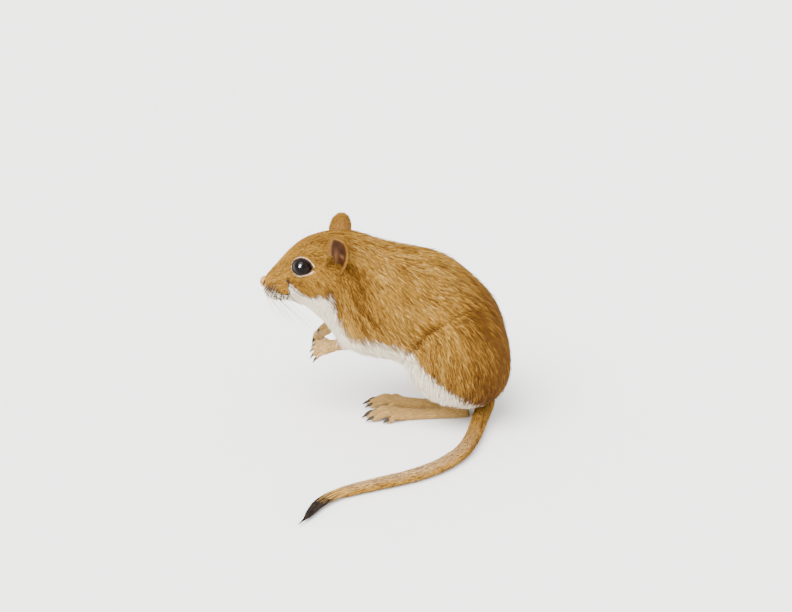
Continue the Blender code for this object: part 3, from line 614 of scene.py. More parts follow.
def open_lids(points, side):
    """Skin points round an eye moved along their rays from its centre: into the socket inside the almond
    opening, and out to a lid of 0.4 mm round it."""
    across, rise, distance = eye_place(points, side)
    gap = opening_gap(across, rise) * LID_RADIUS
    centre = mirrored(EYE_CENTRE, side)
    socket, edge = EYE_RADIUS - 0.9, EYE_RADIUS + 0.08
    lid = edge + (LID_RADIUS - EYE_RADIUS - 0.08) * ease(gap, -0.05, 0.35)
    wanted = socket + (lid - socket) * ease(gap, -0.32, 0)
    near = (distance < 7.5) * (1 - ease(gap, 0.4, 1.7)) * (1 - ease(distance, 4.6, 6.4))
    near = np.where(gap < 0, (distance < 7.5) * 1.0, near)
    return centre + unit(points - centre) * (distance + (wanted - distance) * near)[..., None]


def face_relief(points):
    """How far the muzzle's skin stands out: the lips, less the grooves of the mouth, of the split of the
    upper lip, of the fold at the corner of the mouth and of the nostrils."""
    to_mouth, to_split = (distance_to(points, line) for line in mouth_lines())
    fold = distance_to(points[..., 1:], along_line(MOUTH_FOLD)) + 9 * (np.abs(points[..., 0]) < 4)
    groove = 0.50 * mound(to_mouth, 0.30) + 0.38 * mound(to_split, 0.24) + 0.45 * mound(fold, 0.35)
    groove += 0.50 * mound(nostril_gap(points), 0.30)
    return 0.22 * mound(to_mouth - 0.75, 0.40) + 0.16 * mound(to_split - 0.6, 0.35) - groove


def haunch_white(points):
    """1 below and in front of the white edge on the haunch, 0 above it."""
    return 1 - ease(points[..., 2] - np.interp(points[..., 1], *HAUNCH_WHITE_EDGE.T), -2.0, 2.0)


def trunk_white(points, row, from_belly):
    """1 where the trunk's coat is white: the underside, the lower cheek and a ring round the lids."""
    edge = np.interp(row, *WHITE_EDGE.T)[:, None]
    under = 1 - ease(from_belly, edge - 0.16, edge + 0.20)
    near_thigh = 1 - ease(np.minimum(*thigh_distance(points)), 1, 4)
    under -= near_thigh * np.maximum(under - haunch_white(points), 0) * ease(np.abs(points[..., 0]), 9, 12)
    y = points[..., 1]
    soft = np.interp(y, (-46, -42, -38), (1.3, 0.6, 0.8))
    cheek = 1 - ease((points[..., 2] - np.interp(y, *FACE_WHITE_EDGE.T)) / soft, -1, 1)
    white = cheek + (under - cheek) * ease(row, 5.3, 6.3)[:, None]
    gap = eye_gap(points)
    return np.maximum(white, ease(gap, 0.32, 0.40) * (1 - ease(gap, 0.52, 0.70)))


coat_notes = []


def record_coat(points, lie, sizes, chart, white, zone):
    """Notes how the coat grows at each point: its place, way, sizes, place on the chart, white and zone."""
    columns = [points, lie, sizes] + [np.asarray(part)[..., None] for part in (*chart, white, zone)]
    columns = [np.broadcast_to(part, points.shape[:-1] + part.shape[-1:]) for part in columns]
    coat_notes.append(np.concatenate([part.reshape(-1, part.shape[-1]) for part in columns], 1))


def leg_chart(side, around, level):
    """Places on the coat's chart in the strip of one side's legs."""
    return CHART_LEFT[side] + CHART_LEG_WIDTH * np.clip(around, 0, 1), level


def trunk_skin():
    """Trunk without its coat, with the lids, the line of the mouth and the lips.

    The turns stand closer together where the line 1.2 radians from the top runs, at the eyes.
    """
    row = np.concatenate([np.linspace(0, HEAD_ROWS, 150), np.linspace(HEAD_ROWS, LAST_ROW, 118)[1:]])
    even = np.linspace(0, 2 * math.pi, 2000)
    share = np.cumsum(1 + 1.5 * mound(math.pi - np.abs(even - math.pi) - 1.2, 0.4))
    turn = np.interp(np.linspace(share[0], share[-1], 205)[:-1], share, even)
    outer = trunk_grid(row, turn)
    coat = np.stack([np.interp(row, np.arange(LAST_ROW + 1), column) for column in TRUNK_COAT.T], -1)
    normals = grid_normals(outer)
    skin = outer - normals * coat[:, None, :1]
    skin = skin + normals * sum(blend_lift(skin, gap) for gap in thigh_distance(skin))[..., None]
    skin = skin - normals * EAR_HOLLOW_DEPTH * mound(ear_mouth(skin), EAR_HOLLOW_REACH)[..., None]
    head = row < 4.4
    skin[head] = skin[head] + normals[head] * face_relief(outer[head])[..., None]
    for side in SIDES:
        skin = open_lids(skin, side)
    lie = unit(unit(np.gradient(outer, axis=0)) - np.interp(row, *COAT_DROP.T)[:, None, None] * (0, 0, 1))
    from_belly = np.abs(turn - math.pi)[None]
    zone = np.where(row < HEAD_ROWS, FACE, np.where(row < MANTLE_END_ROW, MANTLE, BACK))[:, None]
    zone = np.where((zone == BACK) & (from_belly < 1.0), BELLY, zone)
    chart = (0.01 + 0.63 * turn[None] / (2 * math.pi), 0.01 + 0.98 * row[:, None] / LAST_ROW)
    record_coat(skin, lie, coat[:, None], chart, trunk_white(skin, row, from_belly), zone)
    return closed_grid("skin", skin, 0.7)


def thigh_skin(side):
    """Thigh without its coat: an ellipsoid whose front half sags towards the knee."""
    polar, turn, direction = ball(62, 84)
    shape = direction * (THIGH_RADII - THIGH_COAT[0])
    shape[..., 1:] *= thigh_fullness(direction)
    shape[..., 2] += thigh_sag(shape[..., 1])
    points = shape + THIGH_CENTRE
    nearest, normals = nearest_on(trunk_surface, points)
    distance = ((points - nearest) * normals).sum(-1)
    outwards = unit((points - THIGH_CENTRE) / THIGH_RADII**2)
    points = points + outwards * blend_lift(points, distance)[..., None]
    white = np.maximum(haunch_white(points), 1 - ease(points[..., 0], 8.5, 10.5))
    level = np.zeros(points.shape[:2])
    lie = unit(np.stack([level, 0.22 + 0.03 * (points[..., 2] - 24), level - 1.0], -1))
    chart = leg_chart(side, turn / (2 * math.pi), 0.56 + 0.42 * polar / math.pi)
    record_coat(mirrored(points, side), lie, np.array(THIGH_COAT), chart, white, THIGH)
    return closed_grid("thigh", mirrored(points, side))


def foot_point(side, forward, outward, height):
    """A point of the foot: so far in front of the heel, to the outside and above the ground."""
    ahead = np.array([math.sin(FOOT_SPLAY), -math.cos(FOOT_SPLAY)])
    outside = np.array([math.cos(FOOT_SPLAY), math.sin(FOOT_SPLAY)])
    x, y = HEELS[side] + ahead * forward + outside * outward
    return np.array([x * side, y, height])


def sole_grid(side):
    """Heel to ball of the foot: rounded rings that are cut level at the ground."""
    turn = turns(48)
    rings = []
    for forward, half_width, height in smooth_along(FOOT_STEPS, 60):
        half_width, height = half_width - FOOT_COAT[0], height - FOOT_COAT[0]
        lift = np.maximum(0.12, height * (0.44 + 0.56 * np.cos(turn)))
        rings.append([foot_point(side, forward, half_width * math.sin(a), h) for a, h in zip(turn, lift)])
    return np.array(rings)


def digit_path(place, root, outward, degrees, length, shares, heights):
    """Points of a toe or finger: shares of its length from its root, at an angle, each at its height."""
    angle = math.radians(degrees)
    return np.array([
        place(root + length * share * math.cos(angle), outward + length * share * math.sin(angle), height)
        for share, height in zip(shares, heights)
    ])


def claw_grid(start, ahead, length, radius, bend):
    """A curved claw that leaves along `ahead`, bends down and tapers to a blunt point."""
    share = np.linspace(0, 1, 12)
    path = start + np.outer(length * share, ahead) + np.outer(bend * length * share**2, (0, 0, -1))
    return tube(path, radius * (1.0 - 0.80 * share**1.2), 12)


def hind_foot(side):
    """Skin of the shank, the foot and its toes, and the grids of its claws."""
    coat = FOOT_COAT[0]
    path = SHANK + (HEELS[1][0], 0, 0)
    path[:, 0] += SHANK_FOLLOWS * (HEELS[side][0] - HEELS[1][0])
    shank = smooth_tube(path * (side, 1, 1), SHANK_RADII, 40, 40, coat)
    bodies, claws = [closed_grid("sole", sole_grid(side), 0.3), closed_grid("shank", shank, 0.5)], []
    for outward, degrees, length, radius, behind in TOES:
        root, heights = FOOT_STEPS[-1][0] - behind, TOE_HEIGHTS * (radius / TOE_HEIGHTS_AT_RADIUS)
        path = digit_path(partial(foot_point, side), root, outward, degrees, length, TOE_SHARES, heights)
        toe = smooth_tube(path, radius * TOE_THICKNESS, 26, 20, coat * 0.6)
        bodies.append(closed_grid("toe", kept_above(toe, 0.12), 0.25))
        pad = tube(path[-3:-1] + (0, 0, -0.25), (0.55, 0.62), 14)
        bodies.append(closed_grid("pad", kept_above(pad, 0.08), 0.3))
        ahead = unit((path[-1] - path[2]) * (1, 1, 0))
        size = HIND_CLAW_LENGTH * (1.0 if length > SHORT_TOE else SHORT_TOE_CLAW)
        claws.append(claw_grid(path[-2] + (0, 0, 0.35), ahead, size, *HIND_CLAW))
    foot = fused(bodies, 0.27, 3)
    points = points_of(foot)
    forward = (HEELS[side][1] - points[:, 1]) / 36
    around = np.arctan2(points[:, 0] * side - HEELS[side][0], points[:, 2] - 2) / (2 * math.pi) + 0.5
    chart = leg_chart(side, around, 0.2 + 0.18 * np.clip(forward, 0, 1))
    shank_part = ease(points[:, 2], 3.6, 7.0)[:, None]
    lie = unit((1 - shank_part) * (0.0, -1.0, -0.10) + shank_part * (0.0, 0.3, -1.0))
    record_coat(points, lie, np.array(FOOT_COAT), chart, 0.25 * ease(points[:, 2], 5, 9), FEET)
    return foot, claws


def forefoot(side):
    """Skin of the forearm, the palm and its fingers, and the grids of their claws."""
    elbow, coat = mirrored(ELBOW, side), FOOT_COAT[0]
    path = elbow + (mirrored(WRISTS[side], side) - elbow) * np.linspace(0, 1, 4)[:, None]
    arm, drop = unit(path[-1] - path[-2]), HAND_DROPS[side]
    ahead = np.array([0, -math.cos(drop), -math.sin(drop)])
    upright, sideways = np.array([0, -math.sin(drop), math.cos(drop)]), np.array([side, 0, 0])
    raised = upright * math.cos(HAND_ROLL) + sideways * math.sin(HAND_ROLL)
    outside = sideways * math.cos(HAND_ROLL) - upright * math.sin(HAND_ROLL)
    wrist = path[-1] + arm * 0.3

    def place(forward, outward, height):
        return wrist + ahead * forward + outside * outward + raised * height

    palm = [place(forward, 0, 0.1) for forward in np.linspace(0.5, 1.0, 3) * PALM_LENGTH]
    thick = np.concatenate([FOREARM_RADII * (1, 1, 0.94, 0.86), PALM_RADII]) - coat
    flat = np.interp(np.linspace(0, 1, 60), (0, 0.45, 0.75), (1.0, 1.0, PALM_FLATNESS))
    grid = smooth_tube(np.concatenate([path, palm]), thick, 60, 32, flatness=flat, level=outside)
    bodies, claws = [closed_grid("arm", grid, 0.4)], []
    for outward, degrees, length, radius in FINGERS:
        thumb = length < 2
        root, fall = PALM_LENGTH - (2.7 if thumb else 1.3), FINGER_FALL * (length / FINGER_FALL_AT_LENGTH)
        spots = digit_path(place, root, outward, degrees, length, FINGER_SHARES, fall)
        finger = smooth_tube(spots, radius * FINGER_THICKNESS - coat * 0.3, 22, 16)
        bodies.append(closed_grid("finger", finger, 0.2))
        size = FORE_CLAW_LENGTH * (THUMB_CLAW if thumb else 1.0)
        claws.append(claw_grid(spots[-2] + raised * 0.1, unit(spots[-1] - spots[-3]), size, *FORE_CLAW))
    for outward, forward in PALM_PADS:
        middle = place(forward, outward, -1.15)
        pad = tube(np.array([middle - ahead * 0.3, middle + ahead * 0.3]), (0.55, 0.55), 12)
        bodies.append(closed_grid("pad", pad, 0.35))
    limb = fused(bodies, 0.24, 3)
    points = points_of(limb)
    around = np.arctan2((points - wrist) @ outside, (points - wrist) @ raised) / (2 * math.pi) + 0.5
    chart = leg_chart(side, around, 0.02 + 0.16 * np.clip((points - path[0]) @ arm / 22, 0, 1))
    record_coat(points, unit(arm * 0.4 + ahead), np.array(FOOT_COAT) * (1, 0.9, 0.9, 1), chart, 0.15, FEET)
    return limb, claws


def tail_course(share):
    return natural_spline(TAIL_PATH, share * (len(TAIL_PATH) - 1))


def tail_skin():
    """Tail without its coat. Its radius falls evenly to the brush and then to a quarter at the tip."""
    share = np.linspace(0, 1, 190)
    reach = np.clip((share - BRUSH_START) / (1 - BRUSH_START), 0, 1)
    radius = TAIL_RADIUS_ROOT + (TAIL_RADIUS_END - TAIL_RADIUS_ROOT) * share - TAIL_COAT[0]
    grid = kept_above(tube(tail_course(share), radius * (1 - 0.75 * reach**2), 36), 0.15)
    lie = unit(np.gradient(grid.mean(1), axis=0))[:, None]
    chart = (0.66 + 0.33 * share[:, None], 0.40 + 0.08 * np.linspace(0, 1, 36, endpoint=False))
    # The coat is paler along the top of the tail from a quarter of its length on: a painted highlight.
    above = np.clip((grid[..., 2] - grid.mean(1)[:, None, 2]) / 2, 0, 1)
    record_coat(grid, lie, np.array(TAIL_COAT), chart, 0.2 * above * ease(share, 0.25, 0.65)[:, None], TAIL)
    return closed_grid("tail", grid, 0.3)


skin = trunk_skin()
faces = [list(face.vertices) for face in skin.data.polygons]
trunk_surface = BVHTree.FromPolygons(points_of(skin).tolist(), faces)
bodies, claw_grids = [thigh_skin(1), thigh_skin(-1), tail_skin()], {}
for side in SIDES:
    foot, claw_grids["hind", side] = hind_foot(side)
    limb, claw_grids["fore", side] = forefoot(side)
    bodies += [foot, limb]
united(skin, bodies)

# How the coat grows at any place: the nearest noted point of the surfaces above.
coat_notes = np.concatenate(coat_notes)
coat_points, coat_lie, coat_sizes, coat_chart, coat_looks = np.split(coat_notes, (3, 6, 10, 12), 1)
coat_white_and_tail_highlight, coat_zone = coat_looks.T
tree = KDTree(len(coat_points))
for index, point in enumerate(coat_points):
    tree.insert(point, index)
tree.balance()


def nearest_notes(points):
    return np.array([tree.find(point)[1] for point in points])


def streaks():
    """Light and dark streaks of the coat, 0 to 1: waves of three lengths, evened out along the way it lies.

    Each round takes the mean of a point's value and those of the noted points 1.2 mm ahead and behind.
    """
    waves = np.zeros(len(coat_points))
    for length, share in ((6.5, 0.25), (1.3, 0.8), (0.75, 1.3)):
        for _ in range(7):
            way = unit(draw.normal(0, 1, 3))
            warp = 0.6 * np.sin(coat_points @ unit(draw.normal(0, 1, 3)) / length * 2.1)
            waves += share * np.sin(coat_points @ way * (2 * math.pi / length) + draw.uniform(0, 6.3) + warp)
    ahead, behind = nearest_notes(coat_points + coat_lie * 1.2), nearest_notes(coat_points - coat_lie * 1.2)
    for _ in range(8):
        waves = (waves + waves[ahead] + waves[behind]) / 3
    return np.argsort(np.argsort(waves)) / len(waves)


coat_streak = streaks()


def shade_of(points):
    """Painted shade on the coat, from 0 to 1: the rump, the crease over the knee, the fold at the corner of
    the mouth, behind the ears and the shoulder."""
    out, y, z = np.abs(points[:, 0]), points[:, 1], points[:, 2]
    rump = ease(y, 2, 23) * (1 - 0.45 * ease(z, 34, 56)) * (0.35 + 0.65 * ease(z, 5, 10))
    crease = mound(distance_to(points[:, 1:], along_line(CREASE)), 1.1) * ease(out, 9, 14)
    fold = mound(distance_to(points[:, 1:], along_line(MOUTH_FOLD)), 0.5) * (out > 4) * (y < -38)
    behind_ear = mound(y + 21.5 + (z - 50) * 0.2, 3.6) * mound(z - 50, 6.0) * ease(out, 6, 10)
    shoulder = mound(y + 17.5 + (z - 40) * 0.3, 4.0) * mound(z - 40, 9.0) * ease(out, 8, 12)
    return np.clip(rump + 0.95 * crease + fold + 0.8 * behind_ear + 0.4 * shoulder, 0, 1)


# Materials


class Value:
    """A socket of a material's node tree. The signs + - and * add Math nodes."""

    def __init__(self, tree, socket):
        self.tree, self.socket = tree, socket

    def maths(self, operation, first, second):
        return self.tree.node("ShaderNodeMath", {0: first, 1: second}, operation=operation)

    def above(self, start, end):
        """0 below start, 1 above end and a smooth rise between them."""
        values = {"Value": self, "From Min": start, "From Max": end}
        return self.tree.node("ShaderNodeMapRange", values, interpolation_type="SMOOTHSTEP")


for sign, operation in (("add", "ADD"), ("sub", "SUBTRACT"), ("mul", "MULTIPLY")):
    setattr(Value, f"__{sign}__", lambda self, other, kind=operation: self.maths(kind, self, other))
    setattr(Value, f"__r{sign}__", lambda self, other, kind=operation: self.maths(kind, other, self))


class Finish:
    """A material whose nodes are added by expressions."""

    def __init__(self, name, roughness, specular):
        self.material = bpy.data.materials.new(name)
        self.material.use_nodes = True
        self.nodes, self.links = self.material.node_tree.nodes, self.material.node_tree.links
        self.shader = self.nodes["Principled BSDF"]
        self.shader.inputs["Roughness"].default_value = roughness
        self.shader.inputs["Specular IOR Level"].default_value = specular

    def plug(self, socket, value):
        """Links a socket to a value, or sets it to a number or colour."""
        if isinstance(value, Value):
            self.links.new(value.socket, socket)
        else:
            socket.default_value = (*value, 1) if socket.type == "RGBA" else value

    def node(self, kind, values, output=0, **settings):
        """A node of any type: its settings first, then the values or links of its sockets."""
        made = self.nodes.new(kind)
        for word, value in settings.items():
            setattr(made, word, value)
        for key, value in values.items():
            self.plug(made.inputs[key], value)
        return Value(self, made.outputs[output])

    def place(self):
        return self.node("ShaderNodeTexCoord", {}, output="Object")

    def attributes(self, words):
        kind = "ShaderNodeAttribute"
        return [self.node(kind, {}, output="Fac", attribute_name=word) for word in words.split()]

    def noise(self, scale, detail, stretch=None):
        where = self.place()
        if stretch:
            where = self.node("ShaderNodeMapping", {"Vector": where, "Scale": stretch})
        return self.node("ShaderNodeTexNoise", {"Vector": where, "Scale": scale, "Detail": detail})

    def mix(self, share, first, second):
        """A colour between two colours or links."""
        return self.node("ShaderNodeMix", {0: share, 6: first, 7: second}, output=2, data_type="RGBA")

    def colour(self, value):
        """Feeds the shader's colour and gives the finished material."""
        self.plug(self.shader.inputs["Base Color"], value)
        return self.material

    def bump(self, height, distance, strength):
        values = {"Height": height, "Distance": distance * MM, "Strength": strength}
        self.plug(self.shader.inputs["Normal"], self.node("ShaderNodeBump", values))


TAWNY_LIGHT, TAWNY, TAWNY_DEEP = (0.58, 0.35, 0.095), (0.37, 0.185, 0.026), (0.125, 0.048, 0.004)
HAIR_ROOT, HAIR_TIP_DARK = (0.11, 0.050, 0.007), (0.040, 0.015, 0.003)
WHITE_HAIR, WHITE_SHADE = (0.97, 0.87, 0.68), (0.74, 0.62, 0.45)
FOOT_TAN, FOOT_LIGHT = (0.30, 0.165, 0.040), (0.48, 0.31, 0.115)
# Dark skin of the lids, also used as painted shade in the nostrils and deep in front of the ears' cups.
LID_DARK_AND_HOLE_SHADE = (0.020, 0.010, 0.006)
BRUSH_BLACK, BRUSH_BROWN = (0.006, 0.004, 0.003), (0.05, 0.025, 0.01)
EAR_BACK_DARK, EAR_BACK_LIGHT, EAR_RIM = (0.22, 0.09, 0.022), (0.36, 0.18, 0.05), (0.38, 0.21, 0.07)
EAR_CUP_DARK, EAR_CUP_LIGHT, EAR_FOLD = (0.010, 0.0025, 0.0006), (0.068, 0.023, 0.005), (0.20, 0.09, 0.03)


def coat_finish():
    """Banded hair: grey-brown root, tawny middle and a dark tip on some; white hair where white is 1."""
    made = Finish("fur", 0.8, 0.12)
    along, chance, white, shade, streak = made.attributes("along chance pale shade streak")
    # shade darkens the tawny hair: painted shade from shade_of, and darker hair at the edge of the white.
    tone = chance * 0.34 + streak * 0.62 - shade * 0.55
    tawny = made.mix(tone.above(0.0, 0.45), TAWNY_DEEP, TAWNY)
    tawny = made.mix(tone.above(0.45, 0.95), tawny, TAWNY_LIGHT)
    banded = made.mix(along.above(0.0, 0.45), HAIR_ROOT, tawny)
    dark_tip = along.above(0.5, 1.0) * (1 - (chance + streak * 0.2).above(0.10, 0.42))
    banded = made.mix(dark_tip, banded, HAIR_TIP_DARK)
    pure = made.mix((along * 0.6 + streak * 0.3 + chance * 0.2).above(0.0, 0.6), WHITE_SHADE, WHITE_HAIR)
    pure = made.mix(along.above(0.4, 1.0) * (1 - chance.above(0.02, 0.08)), pure, HAIR_ROOT)
    return made.colour(made.mix(white, banded, pure))


def skin_finish():
    """Skin under the coat in its markings and painted shade, tan on the feet, dark on the lids, with fine
    grain.
    """
    made = Finish("skin", 0.7, 0.12)
    white, shade, bare, rim, streak = made.attributes("pale shade bare rim streak")
    patch = made.noise(420, 4)
    tawny = made.mix(patch * 0.3 + streak * 0.6 - shade * 0.5, TAWNY_DEEP, TAWNY)
    marked = made.mix(white, tawny, WHITE_SHADE)
    marked = made.mix(bare, marked, made.mix(patch, FOOT_TAN, FOOT_LIGHT))
    made.bump(made.noise(2600, 3), 0.10, 0.6)
    # rim darkens the lids, and paints shade in the nostrils and deep in front of the ears' cups.
    return made.colour(made.mix(rim, marked, LID_DARK_AND_HOLE_SHADE))


def foot_coat_finish():
    made = Finish("foot_fur", 0.75, 0.15)
    along, chance, white = made.attributes("along chance pale")
    tan = made.mix(chance * 0.8 + along * 0.2, FOOT_TAN, FOOT_LIGHT)
    return made.colour(made.mix(white, tan, WHITE_HAIR))


def brush_finish():
    """The brush of the tail: tawny and brown hairs at its start, black behind."""
    made = Finish("brush", 0.7, 0.15)
    chance, black = made.attributes("chance shade")
    dark = made.mix(chance.above(0.8, 1.0), BRUSH_BLACK, BRUSH_BROWN)
    return made.colour(made.mix(black, made.mix(chance, TAWNY, TAWNY_LIGHT), dark))


def eye_finish():
    made = Finish("eye_gloss", 0.04, 0.10)
    (facing,) = made.attributes("look")
    return made.colour(made.mix(facing.above(0.55, 0.98), (0.006, 0.003, 0.002), (0.0015, 0.001, 0.001)))


def ear_finish():
    """Thin skin: reddish brown in the cup, tan on the rim and the back, with fine grain."""
    made = Finish("ear_skin", 0.55, 0.15)
    cup, rim, fold = made.attributes("cup rim fold")
    patch = made.noise(520, 4)
    inner = made.mix(fold * 0.5, made.mix(patch, EAR_CUP_DARK, EAR_CUP_LIGHT), EAR_FOLD)
    skin = made.mix(cup, made.mix(patch, EAR_BACK_DARK, EAR_BACK_LIGHT), inner)
    made.bump(made.noise(1900, 4) + patch * 0.5, 0.12, 0.7)
    return made.colour(made.mix(rim, skin, EAR_RIM))


def nose_finish():
    made = Finish("nose_skin", 0.6, 0.1)
    (pit,) = made.attributes("pit")
    cells = made.node("ShaderNodeTexVoronoi", {"Vector": made.place(), "Scale": 5200.0}, output="Distance")
    made.bump(cells, 0.05, 0.8)
    pink = made.mix(made.noise(1500, 2), (0.30, 0.165, 0.048), (0.42, 0.245, 0.08))
    # The pits are painted near black: painted shade in the nostrils.
    return made.colour(made.mix(pit, pink, (0.03, 0.012, 0.01)))


def claw_finish():
    made = Finish("claw_horn", 0.4, 0.2)
    streak = made.noise(900, 3, (1, 0.2, 1))
    return made.colour(made.mix(streak, (0.008, 0.006, 0.005), (0.035, 0.024, 0.016)))


def whisker_finish():
    made = Finish("whisker_hair", 0.4, 0.4)
    chance, along = made.attributes("chance along")
    hair = made.mix(chance.above(0.75, 0.80), (0.018, 0.011, 0.008), (0.62, 0.54, 0.44))
    return made.colour(made.mix(along * chance * 0.4, hair, (0.30, 0.24, 0.18)))


def finished(item, material, nodes=()):
    """Gives a piece its material, the body it rides on and the nodes it stands for."""
    item.data.materials.clear()
    item.data.materials.append(material)
    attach(item, "root")
    if nodes:
        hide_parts(*nodes)
    return item


# Skin


def dark_lids_and_hole_shade(points):
    """1 on the dark edge of the lids, and as painted shade in the nostrils and deep in front of the ears'
    cups.
    """
    rim = 1 - ease(np.minimum(eye_gap(points), nostril_gap(points) + 0.05), 0.28, 0.42)
    return np.maximum(rim, 1 - ease(ear_mouth(points), 1.2, 2.2))


skin_points = points_of(skin)
notes = nearest_notes(skin_points)
# rim: the dark edge of the lids, and painted shade in the nostrils and deep in front of the ears' cups.
skin_looks = {
    "pale": coat_white_and_tail_highlight[notes], "shade": shade_of(skin_points), "streak": coat_streak[notes],
    "bare": coat_zone[notes] == FEET, "rim": dark_lids_and_hole_shade(skin_points),
}
for word, values in skin_looks.items():
    add_attribute(skin.data, word, values)
skin.data.shade_smooth()
finished(skin, skin_finish(), FLESH_NODES)

# Coat

skin.data.calc_loop_triangles()
corner = np.empty(len(skin.data.loop_triangles) * 3, np.int32)
skin.data.loop_triangles.foreach_get("vertices", corner)
corner = corner.reshape(-1, 3)
skin_surface = BVHTree.FromPolygons(skin_points.tolist(), corner.tolist())


def bare_places(points, normals):
    """Where no hair grows: eye openings, the line of the mouth, the nostrils, the nose pad, the ears' cups
    and what rests on the ground. A few hairs stay at the line of the mouth."""
    muzzle = np.flatnonzero(points[:, 1] < -40)
    to_mouth, to_split = (distance_to(points[muzzle], line) for line in mouth_lines())
    lips = (np.minimum(to_mouth, to_split + 0.1) < 0.75) & (draw.random(len(muzzle)) < 0.85)
    close = np.zeros(len(points), bool)
    close[muzzle] = lips | (nostril_gap(points[muzzle]) < BARE_AT_NOSTRIL)
    sole = (points[:, 2] < 0.5) & (normals[:, 2] < -0.3)
    pad = np.linalg.norm((points - NOSE_PAD_CENTRE) / (NOSE_PAD_RADII + 0.25), axis=1) < 1
    return sole | close | pad | (eye_gap(points) < BARE_AT_LID) | (ear_mouth(points) < BARE_AT_EAR)


def grow_roots():
    """Tuft roots spread over the skin's triangles by area and by the number of tufts that grow there."""
    a, b, c = (skin_points[corner[:, k]] for k in range(3))
    cross = np.cross(b - a, c - a)
    notes = nearest_notes((a + b + c) / 3)
    wanted = np.linalg.norm(cross, axis=1) / 2 * coat_sizes[notes, 3]
    count = np.floor(wanted + draw.random(len(wanted))).astype(int)
    where = np.repeat(np.arange(len(count)), count)
    s, t = draw.random((2, len(where)))
    over = s + t > 1
    s[over], t[over] = 1 - s[over], 1 - t[over]
    points = a[where] + (b - a)[where] * s[:, None] + (c - a)[where] * t[:, None]
    normals = unit(cross)[where]
    keep = ~bare_places(points, normals)
    return points[keep], normals[keep], notes[where][keep]


def lay_along_skin(points, normals, ways, lengths, heights):
    """Walks each tuft from its root over the skin: step = length / steps along its way, then down to the
    skin, then out by its height. The way is bent into the skin's plane at each step."""
    steps = heights.shape[1] - 1
    path = [points - normals * 0.12]
    for step in range(1, steps + 1):
        ways = in_plane(ways, normals)
        points, normals = nearest_on(skin_surface, points + ways * (lengths / steps)[:, None])
        path.append(points + normals * heights[:, step, None])
    return np.stack(path, 1)


def tuft_mesh(name, path, normals, width, places, attributes):
    """Tapered three-sided tufts, one for each row of path: widest a third along, about a quarter as
    thick as wide, to a point. A tuft's patch of the chart lies round its root's place."""
    count, steps = path.shape[:2]
    share = np.linspace(0, 1, steps)
    along = unit(np.gradient(path, axis=1))
    side = unit(np.cross(along, normals[:, None]))
    half = (width[:, None] / 2 * np.interp(share, (0, 0.35, 0.7, 1), (0.75, 1.0, 0.72, 0)))[..., None]
    ring = np.stack([path + side * half, path + np.cross(side, along) * half * 0.55, path - side * half], 2)
    points = kept_above(np.concatenate([ring[:, :-1].reshape(count, -1, 3), path[:, -1:]], 1), 0.02)
    size = points.shape[1]
    rounds = [(k, (k + 1) % 3) for k in range(3)]
    quads = [
        (3 * s + k, 3 * s + n, 3 * s + 3 + n, 3 * s + 3 + k) for s in range(steps - 2) for k, n in rounds
    ]
    last = 3 * (steps - 2)
    triangles = [(2, 1, 0)] + [(last + k, last + n, size - 1) for k, n in rounds]
    start = (np.arange(count) * size)[:, None, None]
    quads, triangles = (start + quads).reshape(-1, 4), (start + triangles).reshape(-1, 3)
    level = np.append(np.repeat(share[:-1], 3), 1.0)
    over = np.append(np.tile((-1, 0, 1), steps - 1), 0)
    chart = (places[:, None] + CHART_PATCH * np.stack([over * 0.4, level - 0.5], -1)).reshape(-1, 2)
    chart = chart[np.concatenate([quads.ravel(), triangles.ravel()])]
    values = {word: np.repeat(value, size) for word, value in attributes.items()}
    values["along"] = np.tile(level, count)
    return make_mesh(name, points.reshape(-1, 3), quads, triangles, values, chart)


def tuft_looks(points, notes, length):
    """Chance, white, shade and streak of each tuft. Its white is read some way along it, and tufts of both
    colours mix at the edge of the white, which is darker."""
    zone, count = coat_zone[notes], len(points)
    chance = draw.random(count)
    streak = np.clip(coat_streak[notes] + draw.normal(0, 0.16, count), 0, 1)
    face = 0.24 + 0.24 * ease(-points[:, 1], 38, 44) + (streak - 0.5) * 0.6
    streak = np.where(zone == FACE, face, np.where(zone == TAIL, 0.56 + (streak - 0.5) * 0.7, streak))
    ahead = length[:, None] * np.where(zone == FACE, 0.3, 0.6)[:, None]
    middle = nearest_notes(points + unit(coat_lie[notes]) * ahead)
    own = (coat_zone[middle] == FEET) & (zone != FEET)
    white = np.where(own, coat_white_and_tail_highlight[notes], coat_white_and_tail_highlight[middle])
    edge = 4 * white * (1 - white)
    shade = shade_of(points) + edge * np.where(zone == FACE, 0.8, 0.3)
    white = ease(white + draw.normal(0, 0.22, count) * edge, 0.12, 0.88)
    # On the tail the share as noted is kept, with its painted highlight along the top.
    white = np.where(zone == TAIL, coat_white_and_tail_highlight[notes], white)
    return {"chance": chance, "pale": white, "shade": shade, "streak": streak}


